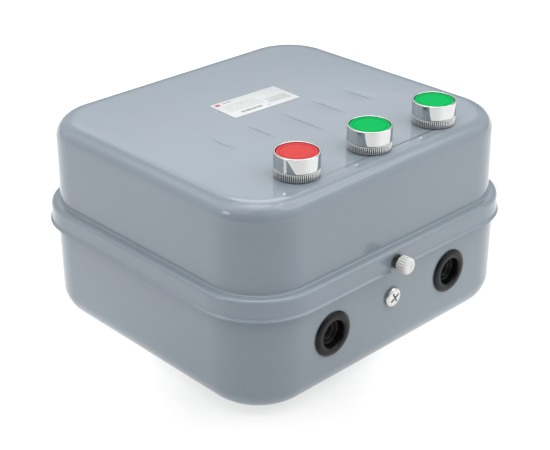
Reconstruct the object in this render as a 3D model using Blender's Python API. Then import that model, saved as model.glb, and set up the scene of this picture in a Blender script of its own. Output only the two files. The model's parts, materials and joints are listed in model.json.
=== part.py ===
"""Enclosed reversing motor starter: steel case, three push-buttons, two contactors and an overload relay.

Metres, +Z up. The case lies on its back: +Z points out of the cover, X runs along the row of buttons, and the
wall with the cable entries faces -Y. The origin is the centre of the back face.
"""

import math

import bmesh
import bpy
from mathutils import Matrix, Vector

# ---------------------------------------------------------------- driving dimensions
GAP = 0.0003                      # air kept between pieces that touch on the real object

# base pan
BASE_HALF = (0.1276, 0.1135)
BASE_CORNER = 0.0414
BASE_BOTTOM_RADIUS = 0.021
BASE_SHEET = 0.0012
RIM_Z = 0.0820
GASKET_TOP_Z = 0.0843

# cover: every ring of it is the wall outline grown by an offset
COVER_CENTRE = (-0.0004, 0.0012)
COVER_HALF = (0.1240, 0.1124)
COVER_CORNER = 0.0410
COVER_SHEET = 0.0010
COVER_TOP_Z = 0.1457
COVER_TOP_RADIUS = 0.0128
COVER_DRAFT = 0.013
WALL_FOOT_Z = 0.0868
SKIRT_OFFSET = 0.00635
SKIRT_TOP_Z = 0.0836
SKIRT_BOTTOM_Z = 0.0723
LIP_FLARE = 0.0016
LIP_HEIGHT = 0.0022
GROOVE_WIDTH = 0.0022
GROOVE_DEPTH = 0.00035
GROOVE_X = 0.0006
GROOVE_PITCH = 0.0318
GROOVE_START_Y = -0.0012
GROOVE_LENGTHS = (0.029, 0.033, 0.047, 0.033, 0.029)
LABEL_SIZE = (0.0588, 0.0287)
LABEL_CENTRE = (0.0017, 0.0239)
LABEL_TURN = math.radians(-2.7)
LABEL_THICKNESS = 0.0002

# push-buttons, heights above the cover's top face
BUTTONS = (("red", -0.0622, -0.0823), ("green_middle", 0.0003, -0.0849), ("green_right", 0.0627, -0.0857))
BEZEL_RADIUS = 0.01475
BEZEL_HEIGHT = 0.0162
KNURL_HEIGHT = 0.0062
CAP_RADIUS = 0.0132
CAP_RECESS = 0.0006
CAP_TRAVEL = 0.0035
BUTTON_HOLE_RADIUS = 0.01125
STEM_RADIUS = 0.0087
CONTACT_BLOCK = (0.028, 0.044, 0.0367)

# end wall: cable entries, earth screw, thumb nut
GROMMETS = (("grommet_left", -0.0609, 0.0448), ("grommet_right", 0.0535, 0.0462))
GROMMET_RADIUS = 0.0156
GROMMET_HOLE_RADIUS = 0.0128
EARTH_X, EARTH_Z = -0.0048, 0.0493
EARTH_HEAD_RADIUS = 0.0068
EARTH_SHANK_RADIUS = 0.00295
THUMB_X, THUMB_Z = -0.0064, 0.0780
THUMB_RADIUS = 0.0058
THUMB_LENGTH = 0.0078
STUD_RADIUS = 0.00245
STUD_HEAD_RADIUS = 0.0038
STUD_REACH = 0.0120
WASHER_TOP = 0.0012
WASHER_RADIUS = 0.0050
HEX_ACROSS_FLATS = 0.008
HEX_SHOWING = 0.0026

# hooks opposite the thumb nut, and the line that the cover turns on when it is lifted
HOOK_X = 0.055
HOOK_WIDTH = 0.024
HOOK_FOOT_Z = 0.066
PIVOT_Y, PIVOT_Z = 0.1178, 0.0742

# inside
PLATE_HALF_X = 0.075
PLATE_Y = (-0.072, 0.092)
PLATE_Z = (0.0063, 0.0078)
PLATE_SCREW_X = 0.066
PLATE_SCREW_Y = (-0.060, 0.084)
WALL_HOLE = (0.092, 0.075)
WALL_HOLE_RADIUS = 0.0035
DEVICE_Z = 0.0081                 # underside of what stands on the plate
CONTACTOR_X = 0.0285
CONTACTOR_Y = 0.048
CONTACTOR_SIZE = (0.045, 0.078)
CONTACTOR_SPLIT_Z = 0.048
CONTACTOR_TOP_Z = 0.086
CONTACTOR_NOSE_Z = 0.094
NOSE_HALF_Y = 0.022
CARRIER_TOP_Z = 0.0955
CONTACTOR_TRAVEL = 0.005
POLE_PITCH = 0.0135
MOUTH = (0.009, 0.0095, 0.016)    # width, depth and height of a terminal's recess
LINK_Z = 0.072
INTERLOCK_HALF_X = 0.0056
INTERLOCK_PIVOT_Z = 0.070
RELAY_X = 0.0285
RELAY_Y = (-0.066, 0.000)
RELAY_TOP_Z = 0.068
RELAY_BUTTON_RADIUS = 0.0038
RELAY_DIAL_RADIUS = 0.0065
RELAY_TRAVEL = 0.0025
DIAL_PLACE = (-0.009, 0.012)
RESET_PLACE = (0.010, 0.015)
TEST_PLACE = (0.010, 0.001)

# facets
CORNER_STEPS = 6
ROUND_STEPS = 20
SMALL_STEPS = 12

COLOURS = {
    "enamel": ((0.36, 0.41, 0.45), 0.30, 0.0),
    "chrome": ((0.80, 0.80, 0.80), 0.08, 1.0),
    "zinc": ((0.70, 0.70, 0.68), 0.30, 1.0),
    "dark_steel": ((0.10, 0.11, 0.10), 0.40, 1.0),
    "red_plastic": ((0.75, 0.07, 0.08), 0.35, 0.0),
    "green_plastic": ((0.00, 0.50, 0.12), 0.35, 0.0),
    "white_plastic": ((0.80, 0.80, 0.74), 0.45, 0.0),
    "grey_plastic": ((0.42, 0.44, 0.45), 0.50, 0.0),
    "black_plastic": ((0.03, 0.03, 0.035), 0.45, 0.0),
    "cream_plastic": ((0.62, 0.60, 0.53), 0.50, 0.0),
    "blue_plastic": ((0.04, 0.16, 0.50), 0.40, 0.0),
    "rubber": ((0.018, 0.018, 0.018), 0.60, 0.0),
    "laminated_steel": ((0.30, 0.30, 0.31), 0.45, 1.0),
    "coil_wrap": ((0.35, 0.12, 0.03), 0.50, 0.0),
    "paper": ((0.80, 0.80, 0.80), 0.50, 0.0),
}


# ---------------------------------------------------------------- helpers
def clear_scene():
    """Removes whatever objects the file holds."""
    for old in list(bpy.data.objects):
        bpy.data.objects.remove(old, do_unlink=True)


def material(name):
    """The Principled material of one finish, made once."""
    found = bpy.data.materials.get(name)
    if found:
        return found
    colour, roughness, metallic = COLOURS[name]
    made = bpy.data.materials.new(name)
    made.use_nodes = True
    shader = made.node_tree.nodes["Principled BSDF"]
    shader.inputs["Base Color"].default_value = (*colour, 1.0)
    shader.inputs["Roughness"].default_value = roughness
    shader.inputs["Metallic"].default_value = metallic
    made.diffuse_color = (*colour, 1.0)
    return made


def pivot(name, at):
    """An empty that marks a joint's axis and carries what turns on it."""
    empty = bpy.data.objects.new(name, None)
    empty.location = at
    empty.empty_display_size = 0.01
    bpy.context.collection.objects.link(empty)
    return empty


def put(name, shape, finish, at=(0.0, 0.0, 0.0), parent=None):
    """Links a bmesh as a named object. Its points are relative to the place at, which is in world axes."""
    bmesh.ops.recalc_face_normals(shape, faces=shape.faces)
    mesh = bpy.data.meshes.new(name)
    shape.to_mesh(mesh)
    shape.free()
    mesh.materials.append(material(finish))
    mesh.shade_smooth()
    mesh.set_sharp_from_angle(angle=math.radians(35))
    made = bpy.data.objects.new(name, mesh)
    bpy.context.collection.objects.link(made)
    made.location = at
    if parent:
        made.parent = parent
        made.matrix_parent_inverse = Matrix.Translation(parent.location).inverted()
    return made


def boolean(target, shape, operation="DIFFERENCE"):
    """Cuts a shape from the target, or adds it. The shape is given in the target's own axes."""
    bmesh.ops.recalc_face_normals(shape, faces=shape.faces)
    mesh = bpy.data.meshes.new(target.name + "_tool")
    shape.to_mesh(mesh)
    shape.free()
    tool = bpy.data.objects.new(f"{target.name}_tool_{len(target.modifiers)}", mesh)
    bpy.context.collection.objects.link(tool)
    tool.location = target.location
    tool.parent = target.parent
    tool.matrix_parent_inverse = target.matrix_parent_inverse
    tool.hide_render = True
    tool.display_type = "WIRE"
    step = target.modifiers.new(operation.lower(), "BOOLEAN")
    step.operation = operation
    step.solver = "EXACT"
    step.object = tool


def rounded_outline(half, radius, z, steps=CORNER_STEPS):
    """A rounded rectangle about the local origin, as a loop of points at height z."""
    points = []
    for quarter in range(4):
        sign_x = (1, -1, -1, 1)[quarter]
        sign_y = (1, 1, -1, -1)[quarter]
        centre = (sign_x * (half[0] - radius), sign_y * (half[1] - radius))
        for step in range(steps + 1):
            angle = math.radians(90 * quarter + 90 * step / steps)
            points.append((centre[0] + radius * math.cos(angle), centre[1] + radius * math.sin(angle), z))
    return points


def loft(loops, closed=False):
    """Skins a list of loops. The first and last loops are capped, or joined to each other when closed."""
    shape = bmesh.new()
    rows = [[shape.verts.new(point) for point in loop] for loop in loops]
    pairs = list(zip(rows, rows[1:]))
    if closed:
        pairs.append((rows[-1], rows[0]))
    for low, high in pairs:
        for index, vert in enumerate(low):
            after = (index + 1) % len(low)
            shape.faces.new((vert, low[after], high[after], high[index]))
    if not closed:
        shape.faces.new(rows[0])
        shape.faces.new(rows[-1])
    return shape


def turned(profile, steps=ROUND_STEPS):
    """A closed outline of (radius, z) points turned about Z. Points on the axis become poles."""
    shape = bmesh.new()
    rows = []
    for radius, z in profile:
        if radius == 0.0:
            rows.append([shape.verts.new((0.0, 0.0, z))] * steps)
            continue
        turn = [2 * math.pi * step / steps for step in range(steps)]
        rows.append([shape.verts.new((radius * math.cos(a), radius * math.sin(a), z)) for a in turn])
    for low, high in zip(rows, rows[1:] + rows[:1]):
        for index in range(steps):
            after = (index + 1) % steps
            corners = list(dict.fromkeys((low[index], low[after], high[after], high[index])))
            if len(corners) > 2:
                shape.faces.new(corners)
    return shape


def point_to(shape, direction):
    """Turns a shape made along +Z to point along another direction."""
    turn = Vector((0, 0, 1)).rotation_difference(Vector(direction)).to_matrix()
    bmesh.ops.rotate(shape, verts=shape.verts, cent=(0, 0, 0), matrix=turn)
    return shape


def box(low, high, into=None):
    """A plain block between two corners, in a new shape or added to one."""
    shape = into or bmesh.new()
    corners = bmesh.ops.create_cube(shape, size=1.0)["verts"]
    size = [b - a for a, b in zip(low, high)]
    centre = [(a + b) / 2 for a, b in zip(low, high)]
    bmesh.ops.scale(shape, verts=corners, vec=size)
    bmesh.ops.translate(shape, verts=corners, vec=centre)
    return shape


def rod(radius, low, high, centre=(0.0, 0.0), axis="Z", steps=SMALL_STEPS, into=None):
    """A plain cylinder along an axis, from low to high, centred on the other two coordinates."""
    shape = into or bmesh.new()
    made = bmesh.ops.create_cone(shape, cap_ends=True, segments=steps, radius1=radius, radius2=radius,
                                 depth=high - low)["verts"]
    middle = (low + high) / 2
    if axis == "X":
        bmesh.ops.rotate(shape, verts=made, cent=(0, 0, 0), matrix=Matrix.Rotation(math.pi / 2, 3, "Y"))
        place = (middle, *centre)
    elif axis == "Y":
        bmesh.ops.rotate(shape, verts=made, cent=(0, 0, 0), matrix=Matrix.Rotation(math.pi / 2, 3, "X"))
        place = (centre[0], middle, centre[1])
    else:
        place = (*centre, middle)
    bmesh.ops.translate(shape, verts=made, vec=place)
    return shape


def extruded(outline, low, high, axis="X"):
    """A flat outline pushed along an axis. The outline gives the two other coordinates in order."""
    def at(point, along):
        return {"X": (along, *point), "Y": (point[0], along, point[1]), "Z": (*point, along)}[axis]
    return loft([[at(point, along) for point in outline] for along in (low, high)])


def hexagon(across_flats):
    """Corner points of a hexagon."""
    radius = across_flats / math.sqrt(3)
    turns = [math.radians(60 * corner) for corner in range(6)]
    return [(radius * math.cos(turn), radius * math.sin(turn)) for turn in turns]


def coil_spring(radius, wire, low, high, turns, steps=8, sides=4):
    """A helical spring of round wire about Z, capped at both ends."""
    loops = []
    count = int(turns * steps)
    rise = (high - low - 2 * wire) / count
    for step in range(count + 1):
        turn = 2 * math.pi * step / steps
        outward = Vector((math.cos(turn), math.sin(turn), 0))
        centre = outward * radius + Vector((0, 0, low + wire + rise * step))
        loops.append([centre + wire * (outward * math.cos(a) + Vector((0, 0, 1)) * math.sin(a))
                      for a in (2 * math.pi * side / sides for side in range(sides))])
    return loft(loops)


# ---------------------------------------------------------------- enclosure
def base_pan():
    """The deep-drawn lower half, with pressed bosses for the plate and holes for all that goes through it."""
    def loops(inset, floor):
        radius = BASE_BOTTOM_RADIUS - inset
        made = []
        for step in range(6):
            angle = math.radians(90 * step / 5)
            shrink = inset + radius * (1 - math.sin(angle))
            half = (BASE_HALF[0] - shrink, BASE_HALF[1] - shrink)
            made.append(rounded_outline(half, BASE_CORNER - shrink, floor + radius * (1 - math.cos(angle))))
        half = (BASE_HALF[0] - inset, BASE_HALF[1] - inset)
        made.append(rounded_outline(half, BASE_CORNER - inset, RIM_Z))
        return made

    pan = put("base_pan", loft(loops(0.0, 0.0) + loops(BASE_SHEET, BASE_SHEET)[::-1]), "enamel")
    bosses = bmesh.new()
    holes = bmesh.new()
    for x in (-PLATE_SCREW_X, PLATE_SCREW_X):
        for y in PLATE_SCREW_Y:
            rod(0.0045, 0.0006, PLATE_Z[0] - GAP, (x, y), into=bosses)
            rod(0.0025, 0.0022, PLATE_Z[1], (x, y), into=holes)
    for x in (-WALL_HOLE[0], WALL_HOLE[0]):
        for y in (-WALL_HOLE[1], WALL_HOLE[1]):
            rod(WALL_HOLE_RADIUS, -0.001, 0.003, (x, y), into=holes)
    wall = (-BASE_HALF[1] - 0.002, -BASE_HALF[1] + 0.004)
    for _, x, z in GROMMETS:
        rod(GROMMET_HOLE_RADIUS, *wall, (x, z), "Y", ROUND_STEPS, holes)
    rod(EARTH_SHANK_RADIUS + GAP, *wall, (EARTH_X, EARTH_Z), "Y", into=holes)
    rod(STUD_RADIUS + GAP, *wall, (THUMB_X, THUMB_Z), "Y", into=holes)
    boolean(pan, bosses, "UNION")
    boolean(pan, holes)


def rim_gasket():
    """A square rubber strip that lies along the base's rim, under the cover's shoulder."""
    loops = []
    foot = RIM_Z + GAP
    for inset, z in ((0.0, foot), (0.0, GASKET_TOP_Z), (0.0020, GASKET_TOP_Z), (0.0020, foot)):
        half = (BASE_HALF[0] - inset, BASE_HALF[1] - inset)
        loops.append(rounded_outline(half, BASE_CORNER - inset, z))
    put("rim_gasket", loft(loops, closed=True), "rubber")


def cover_profile(inset):
    """Offsets from the wall outline, with heights, from the lip up to the edge of the top face."""
    lip = SKIRT_OFFSET + LIP_FLARE - inset
    skirt = SKIRT_OFFSET - inset
    lip_top = SKIRT_BOTTOM_Z + LIP_HEIGHT
    points = [(lip, SKIRT_BOTTOM_Z), (lip - 0.0004, SKIRT_BOTTOM_Z + 0.0009), (skirt, lip_top)]
    shoulder_foot = SKIRT_TOP_Z - 0.0010
    shoulder_rise = WALL_FOOT_Z + 0.0001 - shoulder_foot
    shoulder_run = SKIRT_OFFSET - 0.0012
    for step in range(4):
        angle = math.radians(90 * step / 3)
        out = skirt - shoulder_run * (1 - math.cos(angle))
        points.append((out, shoulder_foot + (shoulder_rise - inset) * math.sin(angle)))
    points.append((0.0003 - inset, WALL_FOOT_Z + 0.0009 - 0.4 * inset))
    points.append((-inset, WALL_FOOT_Z + 0.0020))
    bend = COVER_TOP_Z - COVER_TOP_RADIUS
    lean = COVER_DRAFT * (bend - WALL_FOOT_Z)
    radius = COVER_TOP_RADIUS - inset
    for step in range(6):
        angle = math.radians(90 * step / 5)
        points.append((-lean - inset - radius * (1 - math.cos(angle)), bend + radius * math.sin(angle)))
    return points


def cover_shell(carrier):
    """The upper half: drafted walls, skirt with a flared lip, button holes, stud slot and two lugs."""
    def loops(inset):
        made = []
        for offset, z in cover_profile(inset):
            half = (COVER_HALF[0] + offset, COVER_HALF[1] + offset)
            made.append(rounded_outline(half, COVER_CORNER + offset, z))
        return made

    centre = (*COVER_CENTRE, 0.0)
    shell = put("cover_shell", loft(loops(0.0)[::-1] + loops(COVER_SHEET)), "enamel", centre, carrier)
    lugs = bmesh.new()
    for side in (-1, 1):
        x = side * HOOK_X - centre[0]
        inner = PIVOT_Y - 0.0014 - centre[1]
        outer = COVER_HALF[1] + SKIRT_OFFSET - COVER_SHEET / 2
        lug_top = PIVOT_Z + 0.0014
        lug_low = SKIRT_BOTTOM_Z + LIP_HEIGHT + 0.0002
        box((x - HOOK_WIDTH / 2, inner, lug_low), (x + HOOK_WIDTH / 2, outer, lug_top), lugs)
    boolean(shell, lugs, "UNION")
    openings = bmesh.new()
    for _, x, y in BUTTONS:
        at = (x - centre[0], y - centre[1])
        through = (COVER_TOP_Z - 0.004, COVER_TOP_Z + 0.002)
        rod(BUTTON_HOLE_RADIUS, *through, at, steps=ROUND_STEPS, into=openings)
    slot_x = THUMB_X - centre[0]
    slot_half = STUD_RADIUS + 0.0004
    skirt_y = -COVER_HALF[1] - SKIRT_OFFSET
    wall = (skirt_y - 0.004, skirt_y + 0.003)
    box((slot_x - slot_half, wall[0], SKIRT_BOTTOM_Z - 0.001),
        (slot_x + slot_half, wall[1], THUMB_Z), openings)
    boolean(shell, openings)
    boolean(shell, rod(slot_half, *wall, (slot_x, THUMB_Z), "Y"))
    seat = WASHER_RADIUS + 0.0012
    boolean(shell, box((slot_x - seat, skirt_y - 0.003, SKIRT_BOTTOM_Z - 0.001),
                       (slot_x + seat, skirt_y - 0.0001, SKIRT_BOTTOM_Z + LIP_HEIGHT + 0.0004)))
    grooves = bmesh.new()
    for index, length in enumerate(GROOVE_LENGTHS):
        x = GROOVE_X + (index - 2) * GROOVE_PITCH - centre[0]
        y = GROOVE_START_Y - centre[1]
        box((x - GROOVE_WIDTH / 2, y - length, COVER_TOP_Z - GROOVE_DEPTH),
            (x + GROOVE_WIDTH / 2, y, COVER_TOP_Z + 0.001), grooves)
    boolean(shell, grooves)


def label(carrier):
    """The sticker on the cover's top face, set slightly askew."""
    outline = rounded_outline((LABEL_SIZE[0] / 2, LABEL_SIZE[1] / 2), 0.0012, 0.0, 3)
    turn = Matrix.Rotation(LABEL_TURN, 3, "Z")
    points = [(turn @ Vector(point)).xy for point in outline]
    shape = extruded(points, 0.0, LABEL_THICKNESS, "Z")
    put("label", shape, "paper", (*LABEL_CENTRE, COVER_TOP_Z + GAP), carrier)


# ---------------------------------------------------------------- push-buttons
def push_button(name, x, y, carrier):
    """One push-button: parts fixed in the cover, and the cap that slides in them."""
    at = (x, y, COVER_TOP_Z)
    finish = "red_plastic" if name == "red" else "green_plastic"
    panel = COVER_SHEET + GAP
    bore = STEM_RADIUS + GAP
    barrel = BUTTON_HOLE_RADIUS - GAP
    flange_foot = -0.0120
    body = turned([(bore, flange_foot), (0.0140, flange_foot), (0.0140, -panel), (barrel, -panel),
                   (barrel, KNURL_HEIGHT - GAP), (bore, KNURL_HEIGHT - GAP)])
    put(f"button_body_{name}", body, "black_plastic", at, carrier)
    ring = turned([(BUTTON_HOLE_RADIUS, GAP), (BEZEL_RADIUS - 0.0004, GAP), (BEZEL_RADIUS, 0.0008),
                   (BEZEL_RADIUS, KNURL_HEIGHT - GAP), (BUTTON_HOLE_RADIUS, KNURL_HEIGHT - GAP)])
    put(f"bezel_ring_{name}", ring, "chrome", at, carrier)
    floor = KNURL_HEIGHT + 0.0015
    rim_inner = CAP_RADIUS + GAP
    bezel = turned([(bore, KNURL_HEIGHT), (BEZEL_RADIUS, KNURL_HEIGHT), (BEZEL_RADIUS, BEZEL_HEIGHT - 0.0005),
                    (BEZEL_RADIUS - 0.0005, BEZEL_HEIGHT), (rim_inner, BEZEL_HEIGHT), (rim_inner, floor),
                    (bore, floor)])
    put(f"bezel_{name}", bezel, "chrome", at, carrier)
    cap_top = BEZEL_HEIGHT - CAP_RECESS
    cap_foot = floor + CAP_TRAVEL + 0.0006
    stem_foot = -0.0165
    stem_bore = 0.0062
    spring_top = cap_foot - 0.0020
    profile = [(0.0, spring_top), (stem_bore, spring_top), (stem_bore, stem_foot),
               (STEM_RADIUS, stem_foot), (STEM_RADIUS, cap_foot), (CAP_RADIUS, cap_foot),
               (CAP_RADIUS, cap_top - 0.0004), (CAP_RADIUS - 0.0004, cap_top), (0.0, cap_top)]
    put(f"cap_{name}", turned(profile), finish, at, carrier)
    seat = -0.0215
    spring = coil_spring(0.0048, 0.0004, seat + GAP, spring_top - GAP, 5)
    put(f"cap_spring_{name}", spring, "zinc", at, carrier)
    block_top = flange_foot - GAP
    half = (CONTACT_BLOCK[0] / 2, CONTACT_BLOCK[1] / 2)
    block = put(f"contact_block_{name}", box((-half[0], -half[1], block_top - CONTACT_BLOCK[2]),
                (half[0], half[1], block_top)), "grey_plastic", at, carrier)
    cuts = rod(STEM_RADIUS + 0.0006, seat, block_top + 0.001, steps=ROUND_STEPS)
    for side in (-1, 1):
        for x in (-0.0075, 0.0075):
            outer = side * (half[1] + 0.001)
            inner = side * (half[1] - 0.006)
            box((x - 0.0042, min(outer, inner), block_top - 0.030), (x + 0.0042, max(outer, inner),
                block_top - 0.018), cuts)
    boolean(block, cuts)


# ---------------------------------------------------------------- end wall
def grommet(name, x, z):
    """A rubber cable entry that grips the wall in a groove and is closed by a thin membrane."""
    wall = BASE_SHEET + 2 * GAP
    neck = GROMMET_HOLE_RADIUS - GAP
    inner_flange = GROMMET_RADIUS - 0.0012
    mouth = 0.0096
    profile = [(0.0, -0.0052), (0.0062, -0.0052), (0.0066, -0.0044), (mouth - 0.0008, -0.0040),
               (mouth, 0.0012), (mouth + 0.0012, 0.0021), (GROMMET_RADIUS - 0.0016, 0.0021),
               (GROMMET_RADIUS, 0.0008), (GROMMET_RADIUS, GAP), (neck, GAP), (neck, GAP - wall),
               (inner_flange, GAP - wall),
               (inner_flange, -0.0034), (0.0112, -0.0054), (0.0076, -0.0066), (0.0, -0.0066)]
    put(name, point_to(turned(profile), (0, -1, 0)), "rubber", (x, -BASE_HALF[1], z))


def earth_terminal():
    """The earth terminal: a cross-recess screw through the end wall and the hexagon nut behind it."""
    at = (EARTH_X, -BASE_HALF[1], EARTH_Z)
    profile = [(0.0, -0.0105), (EARTH_SHANK_RADIUS, -0.0105), (EARTH_SHANK_RADIUS, GAP),
               (EARTH_HEAD_RADIUS, GAP), (EARTH_HEAD_RADIUS, 0.0009), (0.0061, 0.0019), (0.0042, 0.0026),
               (0.0, 0.0029)]
    screw = put("earth_screw", point_to(turned(profile, SMALL_STEPS + 4), (0, -1, 0)), "zinc", at)
    boolean(screw, box((-0.0028, -0.0040, -0.0006), (0.0028, -0.0012, 0.0006)))
    boolean(screw, box((-0.0006, -0.0041, -0.0028), (0.0006, -0.0011, 0.0028)))
    foot = BASE_SHEET + GAP
    nut = put("earth_nut", extruded(hexagon(0.010), foot, foot + 0.005, "Y"), "zinc", at)
    boolean(nut, rod(EARTH_SHANK_RADIUS + GAP, 0.0, 0.010, axis="Y"))


def thumb_nut():
    """The stud on the base, and the washer, hexagon insert and plastic knob that run on it."""
    wall = -BASE_HALF[1]
    skirt = COVER_CENTRE[1] - COVER_HALF[1] - SKIRT_OFFSET
    head_foot, head_top = -0.0036, -BASE_SHEET - GAP
    stud = [(0.0, head_foot), (STUD_HEAD_RADIUS, head_foot), (STUD_HEAD_RADIUS, head_top),
            (STUD_RADIUS, head_top), (STUD_RADIUS, STUD_REACH - 0.0005), (STUD_RADIUS - 0.0004, STUD_REACH),
            (0.0, STUD_REACH)]
    put("thumb_stud", point_to(turned(stud, SMALL_STEPS), (0, -1, 0)), "dark_steel", (THUMB_X, wall, THUMB_Z))
    at = (THUMB_X, skirt, THUMB_Z)
    clear = STUD_RADIUS + GAP
    washer = [(clear, GAP), (WASHER_RADIUS, GAP), (WASHER_RADIUS, WASHER_TOP), (clear, WASHER_TOP)]
    put("thumb_washer", point_to(turned(washer, SMALL_STEPS), (0, -1, 0)), "dark_steel", at)
    foot = WASHER_TOP + HEX_SHOWING + GAP
    sleeve_top = foot + 0.0046
    insert = extruded(hexagon(HEX_ACROSS_FLATS), -sleeve_top, -WASHER_TOP - GAP, "Y")
    piece = put("thumb_nut_insert", insert, "dark_steel", at)
    boolean(piece, rod(clear, -0.012, 0.0, axis="Y"))
    top = foot + THUMB_LENGTH
    bore = HEX_ACROSS_FLATS / math.sqrt(3) + GAP
    knob = [(bore, foot), (THUMB_RADIUS - 0.0004, foot), (THUMB_RADIUS, foot + 0.0004),
            (THUMB_RADIUS, top - 0.0026), (THUMB_RADIUS - 0.0008, top - 0.0010), (THUMB_RADIUS - 0.0026, top),
            (0.0, top), (0.0, sleeve_top + GAP), (bore, sleeve_top + GAP)]
    put("thumb_nut", point_to(turned(knob, SMALL_STEPS + 4), (0, -1, 0)), "white_plastic", at)


def cover_hook(name, side):
    """An angle strip on the base's far wall whose top reaches over one of the cover's lugs."""
    wall = BASE_HALF[1] + GAP
    leg = wall + 0.0012
    tip = PIVOT_Y + 0.0004
    top = PIVOT_Z + 0.0043
    outline = [(wall, HOOK_FOOT_Z), (leg, HOOK_FOOT_Z), (leg, top - 0.0012), (tip, top - 0.0012), (tip, top),
               (wall, top)]
    x = side * HOOK_X
    put(name, extruded(outline, x - HOOK_WIDTH / 2, x + HOOK_WIDTH / 2, "X"), "zinc")


# ---------------------------------------------------------------- inside the base
def mounting_plate():
    """The zinc-plated plate that carries the devices, with its four screws."""
    plate = put("mounting_plate", box((-PLATE_HALF_X, PLATE_Y[0], PLATE_Z[0]),
                (PLATE_HALF_X, PLATE_Y[1], PLATE_Z[1])), "zinc")
    holes = bmesh.new()
    number = 0
    for y in PLATE_SCREW_Y:
        for x in (-PLATE_SCREW_X, PLATE_SCREW_X):
            number += 1
            rod(0.0027, PLATE_Z[0] - 0.001, PLATE_Z[1] + 0.001, (x, y), into=holes)
            profile = [(0.0, -0.0048), (0.0021, -0.0048), (0.0021, GAP), (0.0046, GAP), (0.0046, 0.0016),
                       (0.0034, 0.0029), (0.0, 0.0031)]
            screw = put(f"plate_screw_{number}", turned(profile, SMALL_STEPS), "zinc", (x, y, PLATE_Z[1]))
            boolean(screw, box((-0.0005, -0.0022, 0.0016), (0.0005, 0.0022, 0.0040)))
            boolean(screw, box((-0.0022, -0.0005, 0.0015), (0.0022, 0.0005, 0.0041)))
    boolean(plate, holes)


def contactor(side_name, side):
    """One contactor: housing with core and coil, arc chamber above, sprung carrier with the armature."""
    at = (side * CONTACTOR_X, CONTACTOR_Y, 0.0)
    half = (CONTACTOR_SIZE[0] / 2, CONTACTOR_SIZE[1] / 2)
    well = (0.0170, 0.0270)
    floor = DEVICE_Z + 0.003
    housing = put(f"contactor_{side_name}_housing", box((-half[0], -half[1], DEVICE_Z),
                  (half[0], half[1], CONTACTOR_SPLIT_Z)), "black_plastic", at)
    boolean(housing, box((-well[0], -well[1], floor), (well[0], well[1], CONTACTOR_SPLIT_Z + 0.001)))

    limb_top = floor + 0.0260
    yoke_top = floor + 0.0085
    outline = [(-0.025, floor + GAP), (0.025, floor + GAP), (0.025, limb_top), (0.017, limb_top),
               (0.017, yoke_top), (0.005, yoke_top), (0.005, limb_top), (-0.005, limb_top),
               (-0.005, yoke_top), (-0.017, yoke_top), (-0.017, limb_top), (-0.025, limb_top)]
    put(f"contactor_{side_name}_core", extruded(outline, -0.007, 0.007, "X"), "laminated_steel", at)
    coil = put(f"contactor_{side_name}_coil", box((-0.0150, -0.0162, yoke_top + GAP),
               (0.0150, 0.0162, limb_top - 0.0040)), "coil_wrap", at)
    boolean(coil, box((-0.0076, -0.0056, yoke_top - 0.001), (0.0076, 0.0056, limb_top)))

    armature_foot = limb_top + CONTACTOR_TRAVEL + 0.0005
    armature_top = armature_foot + 0.0065
    stem_half = (0.0052, 0.0095)
    moving = box((-0.007, -0.025, armature_foot), (0.007, 0.025, armature_top))
    carrier_piece = put(f"contactor_{side_name}_carrier", moving, "cream_plastic", at)
    stem = box((-stem_half[0], -stem_half[1], armature_foot + 0.003),
               (stem_half[0], stem_half[1], CARRIER_TOP_Z))
    boolean(carrier_piece, stem, "UNION")
    spring = coil_spring(0.0095, 0.0005, limb_top - 0.0040 + GAP, armature_foot - GAP, 3)
    put(f"contactor_{side_name}_spring", spring, "zinc", at)

    chamber_foot = CONTACTOR_SPLIT_Z + GAP
    chamber = put(f"contactor_{side_name}_chamber", box((-half[0], -half[1], chamber_foot),
                  (half[0], half[1], CONTACTOR_TOP_Z)), "black_plastic", at)
    boolean(chamber, box((-half[0], -NOSE_HALF_Y, CONTACTOR_TOP_Z - 0.001),
                         (half[0], NOSE_HALF_Y, CONTACTOR_NOSE_Z)), "UNION")
    boolean(chamber, box((-well[0], -well[1], chamber_foot - 0.001),
                         (well[0], well[1], armature_top + 0.0015)))
    boolean(chamber, box((-stem_half[0] - 0.0004, -stem_half[1] - 0.0004, armature_top),
                         (stem_half[0] + 0.0004, stem_half[1] + 0.0004, CONTACTOR_NOSE_Z + 0.001)))
    mouths = bmesh.new()
    for end in (-1, 1):
        for pole in (-1, 0, 1):
            x = pole * POLE_PITCH
            y = (end * (half[1] - MOUTH[1]), end * (half[1] + 0.001))
            box((x - MOUTH[0] / 2, min(y), CONTACTOR_TOP_Z - MOUTH[2]),
                (x + MOUTH[0] / 2, max(y), CONTACTOR_TOP_Z + 0.001), mouths)
    boolean(chamber, mouths)


def interlock():
    """The mechanical interlock between the contactors: a housing with a fixed pin and two rocking levers."""
    half_y = 0.020
    at = (0.0, CONTACTOR_Y, INTERLOCK_PIVOT_Z)
    block = box((-INTERLOCK_HALF_X, -half_y, -0.020), (INTERLOCK_HALF_X, half_y, 0.014))
    housing = put("interlock_housing", block, "black_plastic", at)
    slot_half = INTERLOCK_HALF_X - 0.0016
    boolean(housing, box((-slot_half, -half_y + 0.003, -0.008), (slot_half, half_y - 0.003, 0.015)))
    boolean(housing, rod(0.0019, -slot_half - 0.0006, slot_half + 0.0006, axis="X"), "UNION")
    plate = slot_half - GAP
    for name, side in (("left", -1), ("right", 1)):
        x = (-plate, -GAP / 2) if side < 0 else (GAP / 2, plate)
        end = side * 0.0145
        outline = [(-end, -0.0028), (end, -0.0028), (end, 0.0028), (0.35 * end, 0.0045), (0.2 * end, 0.0120),
                   (-0.2 * end, 0.0120), (-0.35 * end, 0.0045), (-end, 0.0028)]
        lever = put(f"interlock_lever_{name}", extruded(outline, x[0], x[1], "X"), "cream_plastic", at)
        boolean(lever, rod(0.0022, -0.010, 0.010, axis="X"))


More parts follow.
